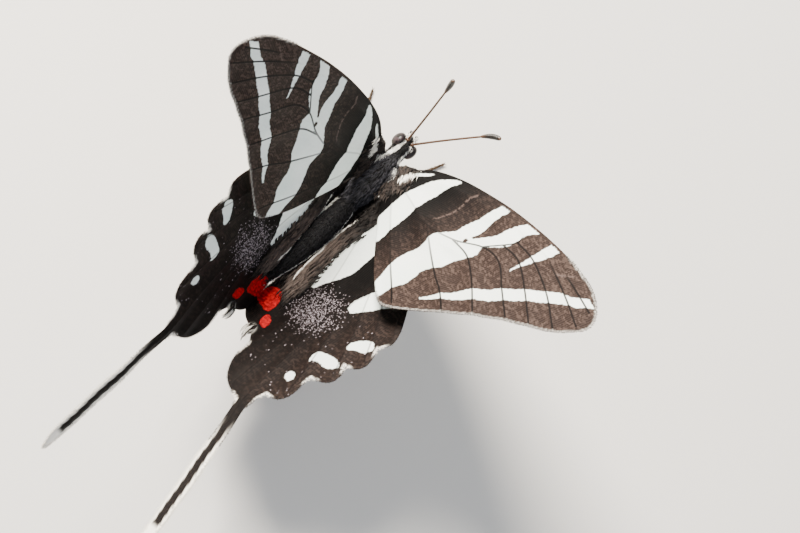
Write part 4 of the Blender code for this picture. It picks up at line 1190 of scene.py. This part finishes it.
def legShapes(pair, side):
    # the leg's tube, then its two claws and two spurs
    root, knee, shin, ankle, tip = np.array(legs[pair]) * (side, 1, 1)
    heel = ankle + (tip - ankle) * legShape["heel"][0]
    heel[2] = legShape["heel"][1]
    cuts = legShape["footJoints"]
    path, radii = [], []
    for a, b, part in ((root, knee, "coxa"), (knee, shin, "femur"), (shin, heel, "tibia")):
        for share, radius in legShape[part]:
            path.append(a + (b - a) * share)
            radii.append(radius)
    for k, (start, end) in enumerate(zip(cuts, cuts[1:])):
        for share, radius in legShape["foot"]:
            path.append(heel + (tip - heel) * (start + (end - start) * share))
            radii.append(radius * (1 - legShape["footTaper"] * k / 4))
    path = np.array(path)
    dense = smoothLine(path, 0.16)
    known, reach = (np.concatenate([[0], np.cumsum(norm(np.diff(line, axis=0), axis=1))])
                    for line in (path, dense))
    radii = np.interp(reach / reach[-1], known / known[-1], radii)
    dense[:, 2] = np.maximum(dense[:, 2], floorLevel + radii * 0.98)
    rings = tubeRings(dense, radii, legShape["sides"])
    for ring in rings:
        ring[:, 2] = np.maximum(ring[:, 2], floorLevel)
    shapes = [loftShape(rings)]
    ahead = (tip - heel) / norm(tip - heel)
    across = np.cross(ahead, (0.0, 0.0, 1.0))
    down = (heel - shin) / norm(heel - shin)
    claw, spur = legShape["claw"], legShape["spur"]
    shares = np.linspace(0, 1, 9)
    for way in (1, -1):
        hook = ahead * claw["length"] + across * way * claw["spread"]
        hook = tip - ahead * claw["back"] + shares[:, None] * hook
        hook[:, 2] += claw["arch"] * np.sin(pi * shares) - claw["droop"] * shares ** 2
        spine = (down * spur["down"] + ahead * (1 - spur["down"])) * spur["length"]
        spine = heel - down * spur["back"] + shares[:, None] * (spine + across * way * spur["spread"])
        for line, thorn in ((hook, claw), (spine, spur)):
            thin = thorn["radius"] * (1 - thorn["taper"] * shares)
            line[:, 2] = np.maximum(line[:, 2], floorLevel + thin)
            shapes.append(loftShape(tubeRings(line, thin, 8)))
    return shapes, rings, reach / reach[-1]


legScales = furMaterial("leg scales, flat and buff over brown horn", furFinish["leg"])
sides = legShape["sides"]
for pair in legs:
    for hand, side in hands.items():
        shapes, rings, shares = legShapes(pair, side)
        points, faces = joinShapes(shapes)
        piece = outward(addObject("legHorn." + pair + "." + hand, place(points), faces))
        mesh = piece.data
        # the claws and spurs come after the tube's points and stay bare
        count = len(rings) * sides
        bare = len(points) - count
        onTube, share, around = (np.pad(values, (0, bare)) for values in (
            np.ones(count), np.repeat(shares, sides), np.tile(np.arange(sides) / sides, len(rings))))
        ahead = unit(np.gradient(np.array([ring.mean(axis=0) for ring in rings]), axis=0))
        lie = np.vstack([np.repeat(ahead, sides, axis=0), np.tile([0.0, 0.0, 1.0], (bare, 1))])
        upper = readOut(mesh.vertices, "normal", 3)[:, 2]
        sole = ramp(share, 0.55, 0.65) * ramp(-upper, -0.1, 0.4)
        setNumbers(mesh, {"tone": onTube * fade(upper, -0.35, 0.25) * fade(share, 0.55, 0.72),
                          "grey": onTube * (0.75 - 0.45 * ramp(share, 0.5, 0.8)), "lie": lie})
        setMap(mesh, np.column_stack([0.02 + 0.94 * around, 0.02 + 0.95 * share])[cornerPoints(mesh)])
        scales = growTufts("legScales." + pair + "." + hand, piece,
                           {"density": onTube * ramp(share, 0.01, 0.04) * (1 - sole),
                            "length": 1 - 0.35 * ramp(share, 0.5, 0.8)}, legCoat, legScales)
        finishPiece(piece, legScales, ["leg_" + pair + "_" + hand])
        finishPiece(scales)


bpy.data.objects.remove(tuftPiece)
